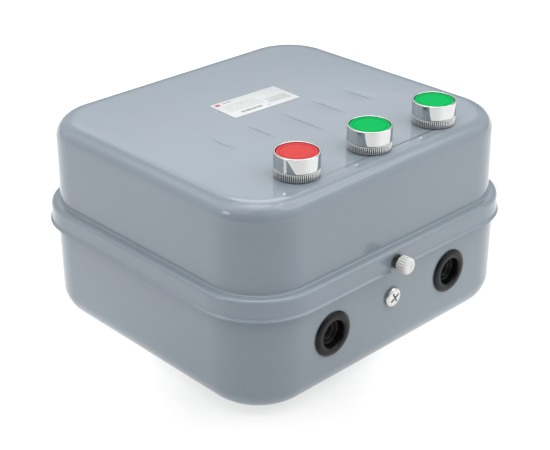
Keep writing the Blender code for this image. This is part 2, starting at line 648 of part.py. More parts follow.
def link_bars(name, end):
    """A moulded bar across one end of both contactors, with a tongue in each of their terminals."""
    edge = CONTACTOR_Y + end * CONTACTOR_SIZE[1] / 2
    near = edge + end * GAP
    far = edge + end * 0.006
    reach = CONTACTOR_X + 0.020
    block = box((-reach, min(near, far), LINK_Z), (reach, max(near, far), LINK_Z + 0.010))
    bar = put(name, block, "grey_plastic")
    tip = edge - end * 0.007
    root = edge + end * 0.003
    tongues = bmesh.new()
    for side in (-1, 1):
        for pole in (-1, 0, 1):
            x = side * CONTACTOR_X + pole * POLE_PITCH
            box((x - 0.003, min(tip, root), LINK_Z + 0.003),
                (x + 0.003, max(tip, root), LINK_Z + 0.005), tongues)
    boolean(bar, tongues, "UNION")


def overload_relay():
    """The thermal overload relay: housing with a current dial, a reset button and a test button."""
    middle_y = sum(RELAY_Y) / 2
    at = (RELAY_X, middle_y, 0.0)
    half = (CONTACTOR_SIZE[0] / 2, (RELAY_Y[1] - RELAY_Y[0]) / 2)
    housing = put("overload_housing", box((-half[0], -half[1], DEVICE_Z), (half[0], half[1], RELAY_TOP_Z)),
                  "black_plastic", at)
    depth = 0.0080
    wells = rod(RELAY_DIAL_RADIUS + GAP, RELAY_TOP_Z - 0.0035, RELAY_TOP_Z + 0.001, DIAL_PLACE, steps=24)
    for place in (RESET_PLACE, TEST_PLACE):
        rod(RELAY_BUTTON_RADIUS + GAP, RELAY_TOP_Z - depth, RELAY_TOP_Z + 0.001, place, into=wells)
    for pole in (-1, 0, 1):
        x = pole * POLE_PITCH
        box((x - MOUTH[0] / 2, -half[1] - 0.001, RELAY_TOP_Z - MOUTH[2]),
            (x + MOUTH[0] / 2, -half[1] + MOUTH[1], RELAY_TOP_Z + 0.001), wells)
    boolean(housing, wells)
    dial_at = (RELAY_X + DIAL_PLACE[0], middle_y + DIAL_PLACE[1], RELAY_TOP_Z)
    profile = [(0.0, -0.0032), (RELAY_DIAL_RADIUS, -0.0032), (RELAY_DIAL_RADIUS, 0.0006),
               (RELAY_DIAL_RADIUS - 0.0004, 0.0010), (0.0, 0.0010)]
    dial = put("overload_dial", turned(profile, 24), "cream_plastic", dial_at)
    boolean(dial, box((-0.0005, -0.0045, -0.0002), (0.0005, 0.0045, 0.002)))
    for name, place, finish in (("overload_reset_button", RESET_PLACE, "blue_plastic"),
                                ("overload_test_button", TEST_PLACE, "red_plastic")):
        foot = -depth + RELAY_TRAVEL + 0.0005
        profile = [(0.0, foot), (RELAY_BUTTON_RADIUS, foot), (RELAY_BUTTON_RADIUS, 0.0031),
                   (RELAY_BUTTON_RADIUS - 0.0004, 0.0035), (0.0, 0.0035)]
        spot = (RELAY_X + place[0], middle_y + place[1], RELAY_TOP_Z)
        put(name, turned(profile, SMALL_STEPS), finish, spot)


# ---------------------------------------------------------------- the whole object
def build():
    """Makes every piece. A moving one has its origin on its joint's axis, or hangs on the cover's empty."""
    clear_scene()
    base_pan()
    rim_gasket()
    for name, x, z in GROMMETS:
        grommet(name, x, z)
    earth_terminal()
    cover_hook("cover_hook_left", -1)
    cover_hook("cover_hook_right", 1)
    thumb_nut()

    cover = pivot("cover_axis", (0.0, PIVOT_Y, PIVOT_Z))
    cover_shell(cover)
    label(cover)
    for name, x, y in BUTTONS:
        push_button(name, x, y, cover)

    mounting_plate()
    contactor("left", -1)
    contactor("right", 1)
    interlock()
    link_bars("line_link_bars", 1)
    link_bars("load_link_bars", -1)
    overload_relay()


build()
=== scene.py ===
"""Looks of an enclosed reversing motor starter: steel case, push-buttons, contactors and a relay inside.

Metres, +Z up, in the frame of the solids. Sizes that also drive the solids are repeated here. Every mesh has
its place in its points, so its object sits at the origin.
"""
import json
import math

import bmesh
import bpy
from mathutils import Matrix, Vector


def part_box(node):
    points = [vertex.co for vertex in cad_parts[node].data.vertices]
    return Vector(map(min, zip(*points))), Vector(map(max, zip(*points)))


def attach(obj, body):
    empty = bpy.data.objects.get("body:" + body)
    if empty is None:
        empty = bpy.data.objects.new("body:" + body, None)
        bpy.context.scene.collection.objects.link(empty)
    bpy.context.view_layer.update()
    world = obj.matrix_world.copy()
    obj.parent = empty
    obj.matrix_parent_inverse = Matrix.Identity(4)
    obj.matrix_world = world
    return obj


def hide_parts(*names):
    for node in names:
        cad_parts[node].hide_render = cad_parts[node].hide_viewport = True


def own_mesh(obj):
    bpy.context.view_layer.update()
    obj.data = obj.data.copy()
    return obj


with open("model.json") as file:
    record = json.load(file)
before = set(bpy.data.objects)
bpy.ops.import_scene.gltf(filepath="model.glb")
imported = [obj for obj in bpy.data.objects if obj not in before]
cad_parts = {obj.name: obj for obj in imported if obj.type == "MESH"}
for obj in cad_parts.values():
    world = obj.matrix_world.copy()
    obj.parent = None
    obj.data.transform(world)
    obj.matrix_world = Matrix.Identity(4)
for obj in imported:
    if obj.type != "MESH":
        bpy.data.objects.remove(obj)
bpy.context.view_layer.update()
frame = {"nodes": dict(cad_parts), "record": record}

# ---------------------------------------------------------------- sizes
AIR = 0.0003                      # gap that the solids keep between pieces that touch

BASE_HALF = (0.1276, 0.1135)
BASE_CORNER = 0.0414
BASE_BOTTOM_RADIUS = 0.021
BASE_SHEET = 0.0012
RIM_Z = 0.0820
GASKET_TOP_Z = 0.0843

COVER_CENTRE = (-0.0004, 0.0012)
COVER_HALF = (0.1240, 0.1124)
COVER_CORNER = 0.0410
COVER_SHEET = 0.0010
COVER_TOP_Z = 0.1457
COVER_TOP_RADIUS = 0.0128
COVER_DRAFT = 0.013
SKIRT_OFFSET = 0.00635
LEDGE_Z = 0.0866
SHOULDER_SIZE = (0.0036, 0.0035)
FOOT_FILLET = 0.0014
SKIRT_BOTTOM_Z = 0.0723
LIP_FLARE = 0.0016
LIP_HEIGHT = 0.0022

MARK_X = 0.0006                   # pressed lines in the cover's top
MARK_PITCH = 0.0318
MARK_START_Y = -0.0012
MARK_LENGTHS = (0.029, 0.033, 0.047, 0.033, 0.029)
MARK_HALF_WIDTH = 0.0013
MARK_DEPTH = 0.00013
LABEL_SIZE = (0.0588, 0.0287)
LABEL_CENTRE = (0.0017, 0.0239)
LABEL_TURN = math.radians(-2.7)
STICKER_FOOT = 0.00004            # heights above the cover
STICKER_TOP = 0.0002
INK_FOOT = 0.00021
INK_THICKNESS = 0.00003

BUTTONS = (("red", -0.0622, -0.0823), ("green_middle", 0.0003, -0.0849), ("green_right", 0.0627, -0.0857))
BEZEL_RADIUS = 0.01475
BEZEL_HEIGHT = 0.0162
KNURL_HEIGHT = 0.0062
KNURL_RIBS = 68
KNURL_DEPTH = 0.00075
CAP_RADIUS = 0.0132
CAP_RECESS = 0.0006
CAP_TRAVEL = 0.0035
BUTTON_HOLE_RADIUS = 0.01125
STEM_RADIUS = 0.0087
STEM_BORE = 0.0062
STEM_FOOT_Z = -0.0165             # from the cover's top, as is the next
SPRING_SEAT_Z = -0.0215
CONTACT_SCREW = (0.0075, 0.0175, -0.0363)     # from the button's axis at the cover's top

GROMMETS = (("grommet_left", -0.0609, 0.0448), ("grommet_right", 0.0535, 0.0462))
GROMMET_RADIUS = 0.0156
GROMMET_HOLE_RADIUS = 0.0128
EARTH_X, EARTH_Z = -0.0048, 0.0493
EARTH_HEAD_RADIUS = 0.0068
EARTH_SHANK_RADIUS = 0.00295
THUMB_X, THUMB_Z = -0.0064, 0.0780
THUMB_RADIUS = 0.0058
THUMB_LENGTH = 0.0078
STUD_RADIUS = 0.00245
STUD_HEAD_RADIUS = 0.0038
STUD_REACH = 0.0120
WASHER_TOP = 0.0012
WASHER_RADIUS = 0.0050
HEX_ACROSS_FLATS = 0.008
HEX_SHOWING = 0.0026
HOOK_X = 0.055
HOOK_WIDTH = 0.024
PIVOT_Y, PIVOT_Z = 0.1178, 0.0742

PLATE_Z = (0.0063, 0.0078)
PLATE_SCREW_X = 0.066
PLATE_SCREW_Y = (-0.060, 0.084)
BOSS_RADII = (0.0072, 0.0045)
WALL_HOLE = (0.092, 0.075)
WALL_HOLE_RADIUS = 0.0035
CONTACTOR_X = 0.0285
CONTACTOR_Y = 0.048
CONTACTOR_HALF = (0.0225, 0.039)
POLE_PITCH = 0.0135
MAGNET_SPRING_Z = (0.0334, 0.0423)
CONTACTOR_SCREW_Z = 0.0774        # undersides of the clamp screws' heads
RELAY_SCREW_DEPTH = 0.0138
TERMINAL_INSET = 0.0050
RELAY_X, RELAY_Y = 0.0285, -0.033
RELAY_HALF_Y = 0.033
RELAY_TOP_Z = 0.068
RELAY_DIAL_RADIUS = 0.0065
RELAY_BUTTON_RADIUS = 0.0038
DIAL_PLACE = (-0.009, 0.012)
RESET_PLACE = (0.010, 0.015)
TEST_PLACE = (0.010, 0.001)

CORNER_STEPS = 28

# camera, as an azimuth and elevation about the point that it looks at
CAMERA_AZIMUTH = -43.739
CAMERA_ELEVATION = 27.041
CAMERA_ROLL = -0.15
CAMERA_TARGET = (-0.0028, -0.0006, 0.0599)
CAMERA_DISTANCE = 0.915448
CAMERA_LENS = 84.127


# ---------------------------------------------------------------- shapes
def outline_of(half, radius, z, steps=CORNER_STEPS, centre=(0.0, 0.0)):
    """A rounded rectangle, as a loop of points at height z."""
    points = []
    for quarter, (sign_x, sign_y) in enumerate(((1, 1), (-1, 1), (-1, -1), (1, -1))):
        bend = (centre[0] + sign_x * (half[0] - radius), centre[1] + sign_y * (half[1] - radius))
        for step in range(steps + 1):
            angle = math.radians(90 * quarter + 90 * step / steps)
            points.append((bend[0] + radius * math.cos(angle), bend[1] + radius * math.sin(angle), z))
    return points


def spread(steps):
    """Angles evenly spread over one turn."""
    return [2 * math.pi * step / steps for step in range(steps)]


def circle(radius, z, centre, steps):
    """Points of a circle at height z."""
    return [(centre[0] + radius * math.cos(a), centre[1] + radius * math.sin(a), z) for a in spread(steps)]


def stitch(shape, rows):
    """Joins loops of vertices with quads, each to the next."""
    for low, high in zip(rows, rows[1:]):
        for index, vert in enumerate(low):
            after = (index + 1) % len(low)
            shape.faces.new((vert, low[after], high[after], high[index]))


def loft(loops, closed=False):
    """Skins loops of points. The ends are capped, or joined to each other when closed."""
    shape = bmesh.new()
    rows = [[shape.verts.new(point) for point in loop] for loop in loops]
    stitch(shape, rows + rows[:1] if closed else rows)
    if not closed:
        shape.faces.new(rows[0])
        shape.faces.new(rows[-1])
    return shape


def turned(profile, steps, inset=None):
    """A closed outline of (radius, z) points turned about Z. A third number is its share of the inset."""
    shape = bmesh.new()
    turns = spread(steps)
    rows = []
    for radius, z, *share in profile:
        if radius == 0.0:
            rows.append([shape.verts.new((0.0, 0.0, z))] * steps)
            continue
        reach = [radius - (share[0] * inset(a) if share else 0.0) for a in turns]
        rows.append([shape.verts.new((r * math.cos(a), r * math.sin(a), z)) for a, r in zip(turns, reach)])
    for low, high in zip(rows, rows[1:] + rows[:1]):
        for index in range(steps):
            after = (index + 1) % steps
            corners = list(dict.fromkeys((low[index], low[after], high[after], high[index])))
            if len(corners) > 2:
                shape.faces.new(corners)
    return shape


def arc(centre, radius, start, end, steps, height=None):
    """Points on an arc in the (radius, z) plane, angles in degrees. A height makes it part of an ellipse."""
    turns = [math.radians(start + (end - start) * step / steps) for step in range(steps + 1)]
    return [(centre[0] + radius * math.cos(a), centre[1] + (height or radius) * math.sin(a)) for a in turns]


def eased(share):
    """A share from 0 to 1 that starts and ends gently."""
    return share * share * (3 - 2 * share)


def extruded(outline, low, high):
    """A flat (x, z) outline pushed along Y."""
    return loft([[(x, y, z) for x, z in outline] for y in (low, high)])


def hexagon(across_flats):
    """Corner points of a hexagon."""
    radius = across_flats / math.sqrt(3)
    turns = [math.radians(60 * corner) for corner in range(6)]
    return [(radius * math.cos(turn), radius * math.sin(turn)) for turn in turns]


def box(low, high):
    """A block between two corners."""
    shape = bmesh.new()
    corners = bmesh.ops.create_cube(shape, size=1.0)["verts"]
    bmesh.ops.scale(shape, verts=corners, vec=[b - a for a, b in zip(low, high)])
    bmesh.ops.translate(shape, verts=corners, vec=[(a + b) / 2 for a, b in zip(low, high)])
    return shape


def rod(radius, low, high, centre, axis="Z", steps=48):
    """A cylinder along Z or Y, from low to high, centred on the other two coordinates."""
    shape = bmesh.new()
    made = bmesh.ops.create_cone(shape, cap_ends=True, segments=steps, radius1=radius, radius2=radius,
                                 depth=high - low)["verts"]
    middle = (low + high) / 2
    place = (*centre, middle)
    if axis == "Y":
        bmesh.ops.rotate(shape, verts=made, cent=(0, 0, 0), matrix=Matrix.Rotation(math.pi / 2, 3, "X"))
        place = (centre[0], middle, centre[1])
    bmesh.ops.translate(shape, verts=made, vec=place)
    return shape


def threaded(radius, depth, pitch, low, high, steps=32):
    """A rod about Z with a screw thread cut in it."""
    def reach(angle, z):
        phase = (z / pitch - angle / (2 * math.pi)) % 1.0
        return radius - depth * abs(2 * phase - 1)

    count = max(2, round((high - low) / pitch * 6))
    loops = []
    for row in range(count + 1):
        z = low + (high - low) * row / count
        loops.append([(reach(a, z) * math.cos(a), reach(a, z) * math.sin(a), z) for a in spread(steps)])
    return loft(loops)


def coil_spring(radius, wire, low, high, turns, steps=40, sides=10):
    """A helical spring of round wire about Z, its end turns lying flat."""
    loops = []
    count = round(turns * steps)
    flat = 0.75 * steps
    run = count - 2 * flat
    for step in range(count + 1):
        turn = 2 * math.pi * step / steps
        rise = min(max((step - flat) / run, 0.0), 1.0)
        end_lift = wire * 1.6 * (min(step, flat) / flat + max(step - flat - run, 0.0) / flat)
        z = low + wire + rise * (high - low - 5.2 * wire) + end_lift
        outward = Vector((math.cos(turn), math.sin(turn), 0))
        centre = outward * radius + Vector((0, 0, z))
        loops.append([centre + wire * (outward * math.cos(a) + Vector((0, 0, 1)) * math.sin(a))
                      for a in spread(sides)])
    return loft(loops)


def moved(shape, at, direction=(0, 0, 1), spin=0.0):
    """Turns a shape made along +Z to point along a direction, and puts it at a place."""
    turn = Vector((0, 0, 1)).rotation_difference(Vector(direction)).to_matrix().to_4x4()
    matrix = Matrix.Translation(at) @ turn @ Matrix.Rotation(spin, 4, "Z")
    bmesh.ops.transform(shape, matrix=matrix, verts=shape.verts)
    return shape


def merged(shapes):
    """One shape made of several."""
    whole = bmesh.new()
    for shape in shapes:
        mesh = bpy.data.meshes.new("part")
        shape.to_mesh(mesh)
        shape.free()
        whole.from_mesh(mesh)
        bpy.data.meshes.remove(mesh)
    return whole


# ---------------------------------------------------------------- objects
def linked(name, shape, finish=None):
    """Links a shape as an object at the origin."""
    bmesh.ops.recalc_face_normals(shape, faces=shape.faces)
    mesh = bpy.data.meshes.new(name)
    shape.to_mesh(mesh)
    shape.free()
    made = bpy.data.objects.new(name, mesh)
    bpy.context.scene.collection.objects.link(made)
    if finish:
        mesh.materials.append(FINISHES[finish])
    return made


def carve(target, shape, operation="DIFFERENCE"):
    """Cuts a shape from an object's mesh, or adds it."""
    tool = linked("tool", shape)
    step = target.modifiers.new("carve", "BOOLEAN")
    step.operation = operation
    step.solver = "EXACT"
    step.object = tool
    graph = bpy.context.evaluated_depsgraph_get()
    mesh = bpy.data.meshes.new_from_object(target.evaluated_get(graph))
    target.modifiers.remove(step)
    old, target.data = target.data, mesh
    bpy.data.meshes.remove(old)
    bpy.data.objects.remove(tool)


def soften(made, width, weld=False):
    """Rounds an object's sharp edges."""
    if weld:
        step = made.modifiers.new("weld", "WELD")
        step.merge_threshold = 0.000005
    step = made.modifiers.new("soften", "BEVEL")
    step.width = width
    step.segments = 2
    step.limit_method = "ANGLE"
    step.angle_limit = math.radians(40)


def finished(made, body, replaces=(), sharp=38.0):
    """Shades an object and hangs it on its body."""
    made.data.name = made.name
    made.data.shade_smooth()
    made.data.set_sharp_from_angle(angle=math.radians(sharp))
    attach(made, body)
    if replaces:
        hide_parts(*replaces)
    return made


def piece(name, shape, finish, body, replaces=(), sharp=38.0):
    """A shape as a finished piece of the object."""
    return finished(linked(name, shape, finish), body, replaces, sharp)


# ---------------------------------------------------------------- finishes
def feed(tree, socket, value):
    """Gives an input socket a value or another node's output."""
    if isinstance(value, bpy.types.NodeSocket):
        tree.links.new(value, socket)
    else:
        socket.default_value = value


def add(tree, kind, **inputs):
    """Adds a shader node, with its inputs as values or sockets."""
    made = tree.nodes.new("ShaderNode" + kind)
    for key, value in inputs.items():
        feed(tree, made.inputs[key.replace("_", " ")], value)
    return made


def maths(tree, operation, *values, kind="Math", output=0):
    """One arithmetic step on values or sockets."""
    made = add(tree, kind)
    made.operation = operation
    for socket, value in zip(made.inputs, values):
        feed(tree, socket, value)
    return made.outputs[output]


def facing(tree, direction, heading):
    """The cosine of the angle between a direction and a fixed heading."""
    return maths(tree, "DOT_PRODUCT", direction, heading, kind="VectorMath", output="Value")


def between(tree, share, low, high, start=0.0, end=1.0):
    """A value that goes from low to high as share goes from start to end."""
    return add(tree, "MapRange", Value=share, From_Min=start, From_Max=end, To_Min=low,
               To_Max=high).outputs["Result"]


def shade(colour, factor):
    """A colour made lighter or darker."""
    return (*[min(max(value * factor, 0.0), 1.0) for value in colour], 1.0)


class Finish:
    """A Principled material that gets its detail layer by layer."""

    def __init__(self, name, colour, roughness, metallic=0.0, **fixed):
        self.material = bpy.data.materials.new(name)
        self.material.use_nodes = True
        self.tree = self.material.node_tree
        self.shader = self.tree.nodes["Principled BSDF"]
        self.colour = colour
        self.shader.inputs["Base Color"].default_value = shade(colour, 1.0)
        self.shader.inputs["Roughness"].default_value = roughness
        self.shader.inputs["Metallic"].default_value = metallic
        for key, value in fixed.items():
            self.shader.inputs[key.replace("_", " ")].default_value = value
        self.place = add(self.tree, "TexCoord").outputs["Object"]

    def noise(self, scale, detail=3.0, stretch=None):
        """A noise from 0 to 1, with its scale per metre."""
        place = self.place
        if stretch:
            place = add(self.tree, "Mapping", Vector=place, Scale=stretch).outputs[0]
        return add(self.tree, "TexNoise", Vector=place, Scale=scale, Detail=detail).outputs["Fac"]

    def tint(self, share, low, high, other=None):
        """Takes the base colour from darker to lighter, or to another colour, by a share."""
        ramp = add(self.tree, "ValToRGB", Fac=share)
        dark, light = ramp.color_ramp.elements
        dark.position, light.position = 0.3, 0.7
        dark.color = shade(self.colour, low)
        light.color = shade(other or self.colour, high)
        self.tree.links.new(ramp.outputs[0], self.shader.inputs["Base Color"])

    def mottle(self, scale, amount):
        """Colour that varies softly over the surface."""
        self.tint(self.noise(scale), 1.0 - amount, 1.0 + amount)

    def sheen_varies(self, scale, low, high):
        """Roughness that varies over the surface."""
        share = self.noise(scale, 4.0)
        self.tree.links.new(between(self.tree, share, low, high), self.shader.inputs["Roughness"])

    def relief(self, height, depth):
        """Bump of a height from 0 to 1, with its depth in metres, on top of any bump before it."""
        before = self.shader.inputs["Normal"].links
        made = add(self.tree, "Bump", Height=height, Strength=1.0, Distance=depth)
        if before:
            self.tree.links.new(before[0].from_socket, made.inputs["Normal"])
        self.tree.links.new(made.outputs[0], self.shader.inputs["Normal"])

    def grain(self, scale, depth, detail=2.0, stretch=None):
        """Bump from noise."""
        self.relief(self.noise(scale, detail, stretch), depth)

    def stripes(self, axis, period):
        """Stripes across an axis, from 0 to 1."""
        parts = add(self.tree, "SeparateXYZ", Vector=self.place)
        turn = maths(self.tree, "MULTIPLY", parts.outputs[axis], 2 * math.pi / period)
        return maths(self.tree, "MULTIPLY_ADD", maths(self.tree, "SINE", turn), 0.5, 0.5)


def enamel():
    """Stoved enamel: glossy, a little orange peel, the sheet under it not quite flat."""
    made = Finish("enamel", ENAMEL, 0.08, IOR=1.5)
    made.mottle(9.0, 0.025)
    made.sheen_varies(26.0, 0.06, 0.10)
    made.grain(7.0, 0.00045, 0.0)
    made.grain(430.0, 0.0000035, 1.0)
    return made


def bright_plate():
    """Chrome on plastic: a mirror with faint wiping marks."""
    made = Finish("chrome", (0.60, 0.61, 0.61), 0.05, 1.0)
    made.mottle(160.0, 0.02)
    made.sheen_varies(300.0, 0.035, 0.085)
    made.grain(220.0, 0.000004, 1.0)
    return made


def knurl_plate():
    """The same plating on a knurl, with painted shade that darkens the grooves."""
    made = Finish("knurl", (0.68, 0.68, 0.67), 0.25, 0.7)
    painted_groove_shade = add(made.tree, "NewGeometry").outputs["Pointiness"]
    # painted shade: the colour goes nearly black where the surface is hollow, down in the knurl's grooves
    made.tint(between(made.tree, painted_groove_shade, -4.5, 5.5), 0.02, 1.0)
    made.sheen_varies(300.0, 0.2, 0.3)
    return made


def zinc_plate():
    """Zinc-plated steel: cloudy, with drawing marks and a trace of yellow passivation."""
    made = Finish("zinc", (0.62, 0.63, 0.64), 0.26, 1.0)
    made.tint(made.noise(38.0, 5.0), 0.84, 1.0, (0.66, 0.66, 0.63))
    made.sheen_varies(120.0, 0.24, 0.36)
    made.grain(900.0, 0.0000015, 3.0, (1.0, 0.08, 1.0))
    return made


def oxide_steel():
    """Blackened steel with worn spots."""
    made = Finish("dark_steel", (0.10, 0.10, 0.095), 0.4, 1.0)
    made.tint(made.noise(420.0, 5.0), 0.75, 1.5, (0.14, 0.13, 0.11))
    made.sheen_varies(500.0, 0.3, 0.55)
    made.grain(1500.0, 0.000005)
    return made


def plastic(name, colour, roughness, texture, **fixed):
    """Moulded plastic, with a fine spark-eroded texture of the given depth."""
    made = Finish(name, colour, roughness, **fixed)
    made.mottle(34.0, 0.035)
    made.sheen_varies(140.0, roughness * 0.85, roughness * 1.2)
    made.grain(2600.0, texture, 3.0)
    made.grain(90.0, texture * 2, 0.0)
    return made


def black_rubber():
    """Moulded rubber with a slight bloom."""
    made = Finish("rubber", (0.0035, 0.0035, 0.0040), 0.36, Specular_IOR_Level=0.22)
    made.tint(made.noise(150.0, 5.0), 0.8, 1.0, (0.0065, 0.0065, 0.0060))
    made.sheen_varies(260.0, 0.24, 0.36)
    made.grain(1400.0, 0.000012, 3.0)
    return made


def stacked_sheets():
    """The edges of stamped electrical sheets."""
    made = Finish("laminated_steel", (0.30, 0.30, 0.31), 0.42, 1.0)
    sheet = made.stripes(0, 0.0005)
    made.tint(sheet, 0.45, 1.15)
    made.sheen_varies(300.0, 0.35, 0.55)
    made.relief(sheet, 0.00003)
    return made


def wrapped_coil():
    """A winding under varnished tape."""
    made = Finish("coil_wrap", (0.36, 0.13, 0.03), 0.32)
    turn = made.stripes(2, 0.0042)
    made.tint(turn, 0.7, 1.15)
    made.sheen_varies(180.0, 0.24, 0.45)
    made.relief(turn, 0.00006)
    return made


def sticker():
    """Coated white paper."""
    made = Finish("paper", (0.525, 0.54, 0.54), 0.42, Specular_IOR_Level=0.3)
    made.mottle(60.0, 0.012)
    made.sheen_varies(220.0, 0.3, 0.45)
    made.grain(1800.0, 0.000004, 3.0)
    return made


ENAMEL = (0.215, 0.254, 0.291)
FINISHES = {
    "enamel": enamel(),
    "chrome": bright_plate(),
    "knurl": knurl_plate(),
    "zinc": zinc_plate(),
    "dark_steel": oxide_steel(),
    "red_plastic": plastic("red_plastic", (0.50, 0.053, 0.053), 0.30, 0.000002, IOR=1.08),
    "green_plastic": plastic("green_plastic", (0.0, 0.36, 0.080), 0.30, 0.000002, IOR=1.08),
    "white_plastic": plastic("white_plastic", (0.66, 0.66, 0.65), 0.36, 0.000002, Subsurface_Weight=0.25,
                             Subsurface_Scale=0.0015),
    "grey_plastic": plastic("grey_plastic", (0.36, 0.38, 0.39), 0.48, 0.000006),
    "black_plastic": plastic("black_plastic", (0.022, 0.022, 0.024), 0.40, 0.000007),
    "cream_plastic": plastic("cream_plastic", (0.62, 0.58, 0.46), 0.45, 0.000004),
    "blue_plastic": plastic("blue_plastic", (0.03, 0.12, 0.44), 0.32, 0.000003),
    "rubber": black_rubber(),
    "laminated_steel": stacked_sheets(),
    "coil_wrap": wrapped_coil(),
    "paper": sticker(),
}
FINISHES = {name: made.material for name, made in FINISHES.items()}


# ---------------------------------------------------------------- the case
def cover_profile(inset):
    """Offsets from the wall outline, with heights, from the lip up to the edge of the top face."""
    lip = SKIRT_OFFSET + LIP_FLARE - inset
    points = [(lip, SKIRT_BOTTOM_Z)]
    for step in range(1, 7):
        share = step / 6
        points.append((lip - LIP_FLARE * eased(share), SKIRT_BOTTOM_Z + LIP_HEIGHT * share))
    width, height = SHOULDER_SIZE
    points += arc((SKIRT_OFFSET - width, LEDGE_Z - height), width - inset, 0, 90, 8, height - inset)
    points += arc((FOOT_FILLET, LEDGE_Z + 0.0001 + FOOT_FILLET), FOOT_FILLET + inset, 270, 180, 6)
    points.append((-inset - 0.00005, LEDGE_Z + 0.0050))
    bend = COVER_TOP_Z - COVER_TOP_RADIUS
    lean = COVER_DRAFT * (bend - LEDGE_Z)
    radius = COVER_TOP_RADIUS - inset
    points.append((-lean - inset + COVER_DRAFT * 0.002, bend - 0.002))
    points += arc((-lean - inset - radius, bend), radius, 0, 90, 16)
    points.append((points[-1][0] - 0.0030, points[-1][1]))
    return points


def pressed_depth(x, y):
    """How far the top face is pressed in at a point, by the shallow lines in it."""
    depth = 0.0
    for index, length in enumerate(MARK_LENGTHS):
        across = abs(x - MARK_X - (index - 2) * MARK_PITCH) / (MARK_HALF_WIDTH * 1.3)
        along = min(MARK_START_Y - y, y - MARK_START_Y + length) / (length * 0.30)
        if across < 1.0 and along > 0.0:
            depth += (0.5 + 0.5 * math.cos(math.pi * across)) * eased(min(along, 1.0))
    return depth * MARK_DEPTH


def pressed_grid(shape):
    """A grid of faces fine enough for the pressed lines. Returns the loop of vertices round it."""
    section = [MARK_HALF_WIDTH * 1.3 * step / 5 for step in range(-5, 6)]
    xs = sorted(MARK_X + (index - 2) * MARK_PITCH + dx for index in range(5) for dx in section)
    longest = max(MARK_LENGTHS)
    rows_count = 30
    ys = [MARK_START_Y - longest * row / rows_count for row in range(rows_count + 1)]
    rows = [[shape.verts.new((x, y, COVER_TOP_Z - pressed_depth(x, y))) for x in xs] for y in ys]
    for low, high in zip(rows, rows[1:]):
        for index in range(len(xs) - 1):
            shape.faces.new((low[index], low[index + 1], high[index + 1], high[index]))
    right = [row[-1] for row in rows[1:]]
    left = [row[0] for row in rows[-2:0:-1]]
    return rows[0] + right + rows[-1][-2::-1] + left


def fill_between(shape, loops):
    """Fills the flat face between an outer loop of vertices and the loops inside it."""
    edges = []
    for loop in loops:
        for index, vert in enumerate(loop):
            other = loop[(index + 1) % len(loop)]
            edges.append(shape.edges.get((vert, other)) or shape.edges.new((vert, other)))
    bmesh.ops.triangle_fill(shape, use_beauty=True, use_dissolve=False, edges=edges)


def case_cover():
    """The cover as one pressed sheet: rolled lip, skirt, shoulder, drafted walls, button holes and lugs."""
    shape = bmesh.new()

    def skin(inset):
        rows = []
        for offset, z in cover_profile(inset):
            half = (COVER_HALF[0] + offset, COVER_HALF[1] + offset)
            loop = outline_of(half, COVER_CORNER + offset, z, centre=COVER_CENTRE)
            rows.append([shape.verts.new(point) for point in loop])
        stitch(shape, rows)
        return rows

    outer, inner = skin(0.0), skin(COVER_SHEET)
    stitch(shape, [outer[0], inner[0]])
    holes = []
    for _, *at in BUTTONS:
        pair = [[shape.verts.new(point) for point in circle(BUTTON_HOLE_RADIUS, z, at, 48)]
                for z in (COVER_TOP_Z, COVER_TOP_Z - COVER_SHEET)]
        stitch(shape, pair)
        holes.append(pair)
    fill_between(shape, [outer[-1], pressed_grid(shape)] + [pair[0] for pair in holes])
    fill_between(shape, [inner[-1]] + [pair[1] for pair in holes])
    shell = linked("case_cover", shape, "enamel")

    lug_inner = PIVOT_Y - 0.0014
    lug_outer = COVER_CENTRE[1] + COVER_HALF[1] + SKIRT_OFFSET - COVER_SHEET / 2
    lug_z = (SKIRT_BOTTOM_Z + LIP_HEIGHT + 0.0002, PIVOT_Z + 0.0014)
    for side in (-1, 1):
        x = side * HOOK_X
        lug = box((x - HOOK_WIDTH / 2, lug_inner, lug_z[0]), (x + HOOK_WIDTH / 2, lug_outer, lug_z[1]))
        carve(shell, lug, "UNION")
    skirt_y = COVER_CENTRE[1] - COVER_HALF[1] - SKIRT_OFFSET
    slot_half = STUD_RADIUS + 0.0004
    wall = (skirt_y - 0.004, skirt_y + 0.003)
    below = SKIRT_BOTTOM_Z - 0.001
    carve(shell, box((THUMB_X - slot_half, wall[0], below), (THUMB_X + slot_half, wall[1], THUMB_Z)))
    carve(shell, rod(slot_half, *wall, (THUMB_X, THUMB_Z), "Y", 32))
    seat = WASHER_RADIUS + 0.0012
    relief = SKIRT_BOTTOM_Z + LIP_HEIGHT + 0.0004
    carve(shell, box((THUMB_X - seat, skirt_y - 0.003, below), (THUMB_X + seat, skirt_y - 0.0001, relief)))
    finished(shell, "cover", ["cover_shell"], 34.0)


def base_profile(inset, floor):
    """Shrinks of the base's outline, with heights, from the flat back up to the rim."""
    radius = BASE_BOTTOM_RADIUS - inset
    bend = arc((inset + radius, floor + radius), radius, 270, 180, 16)
    return [(inset + radius + 0.004, floor)] + bend + [(inset, RIM_Z - 0.003), (inset, RIM_Z)]


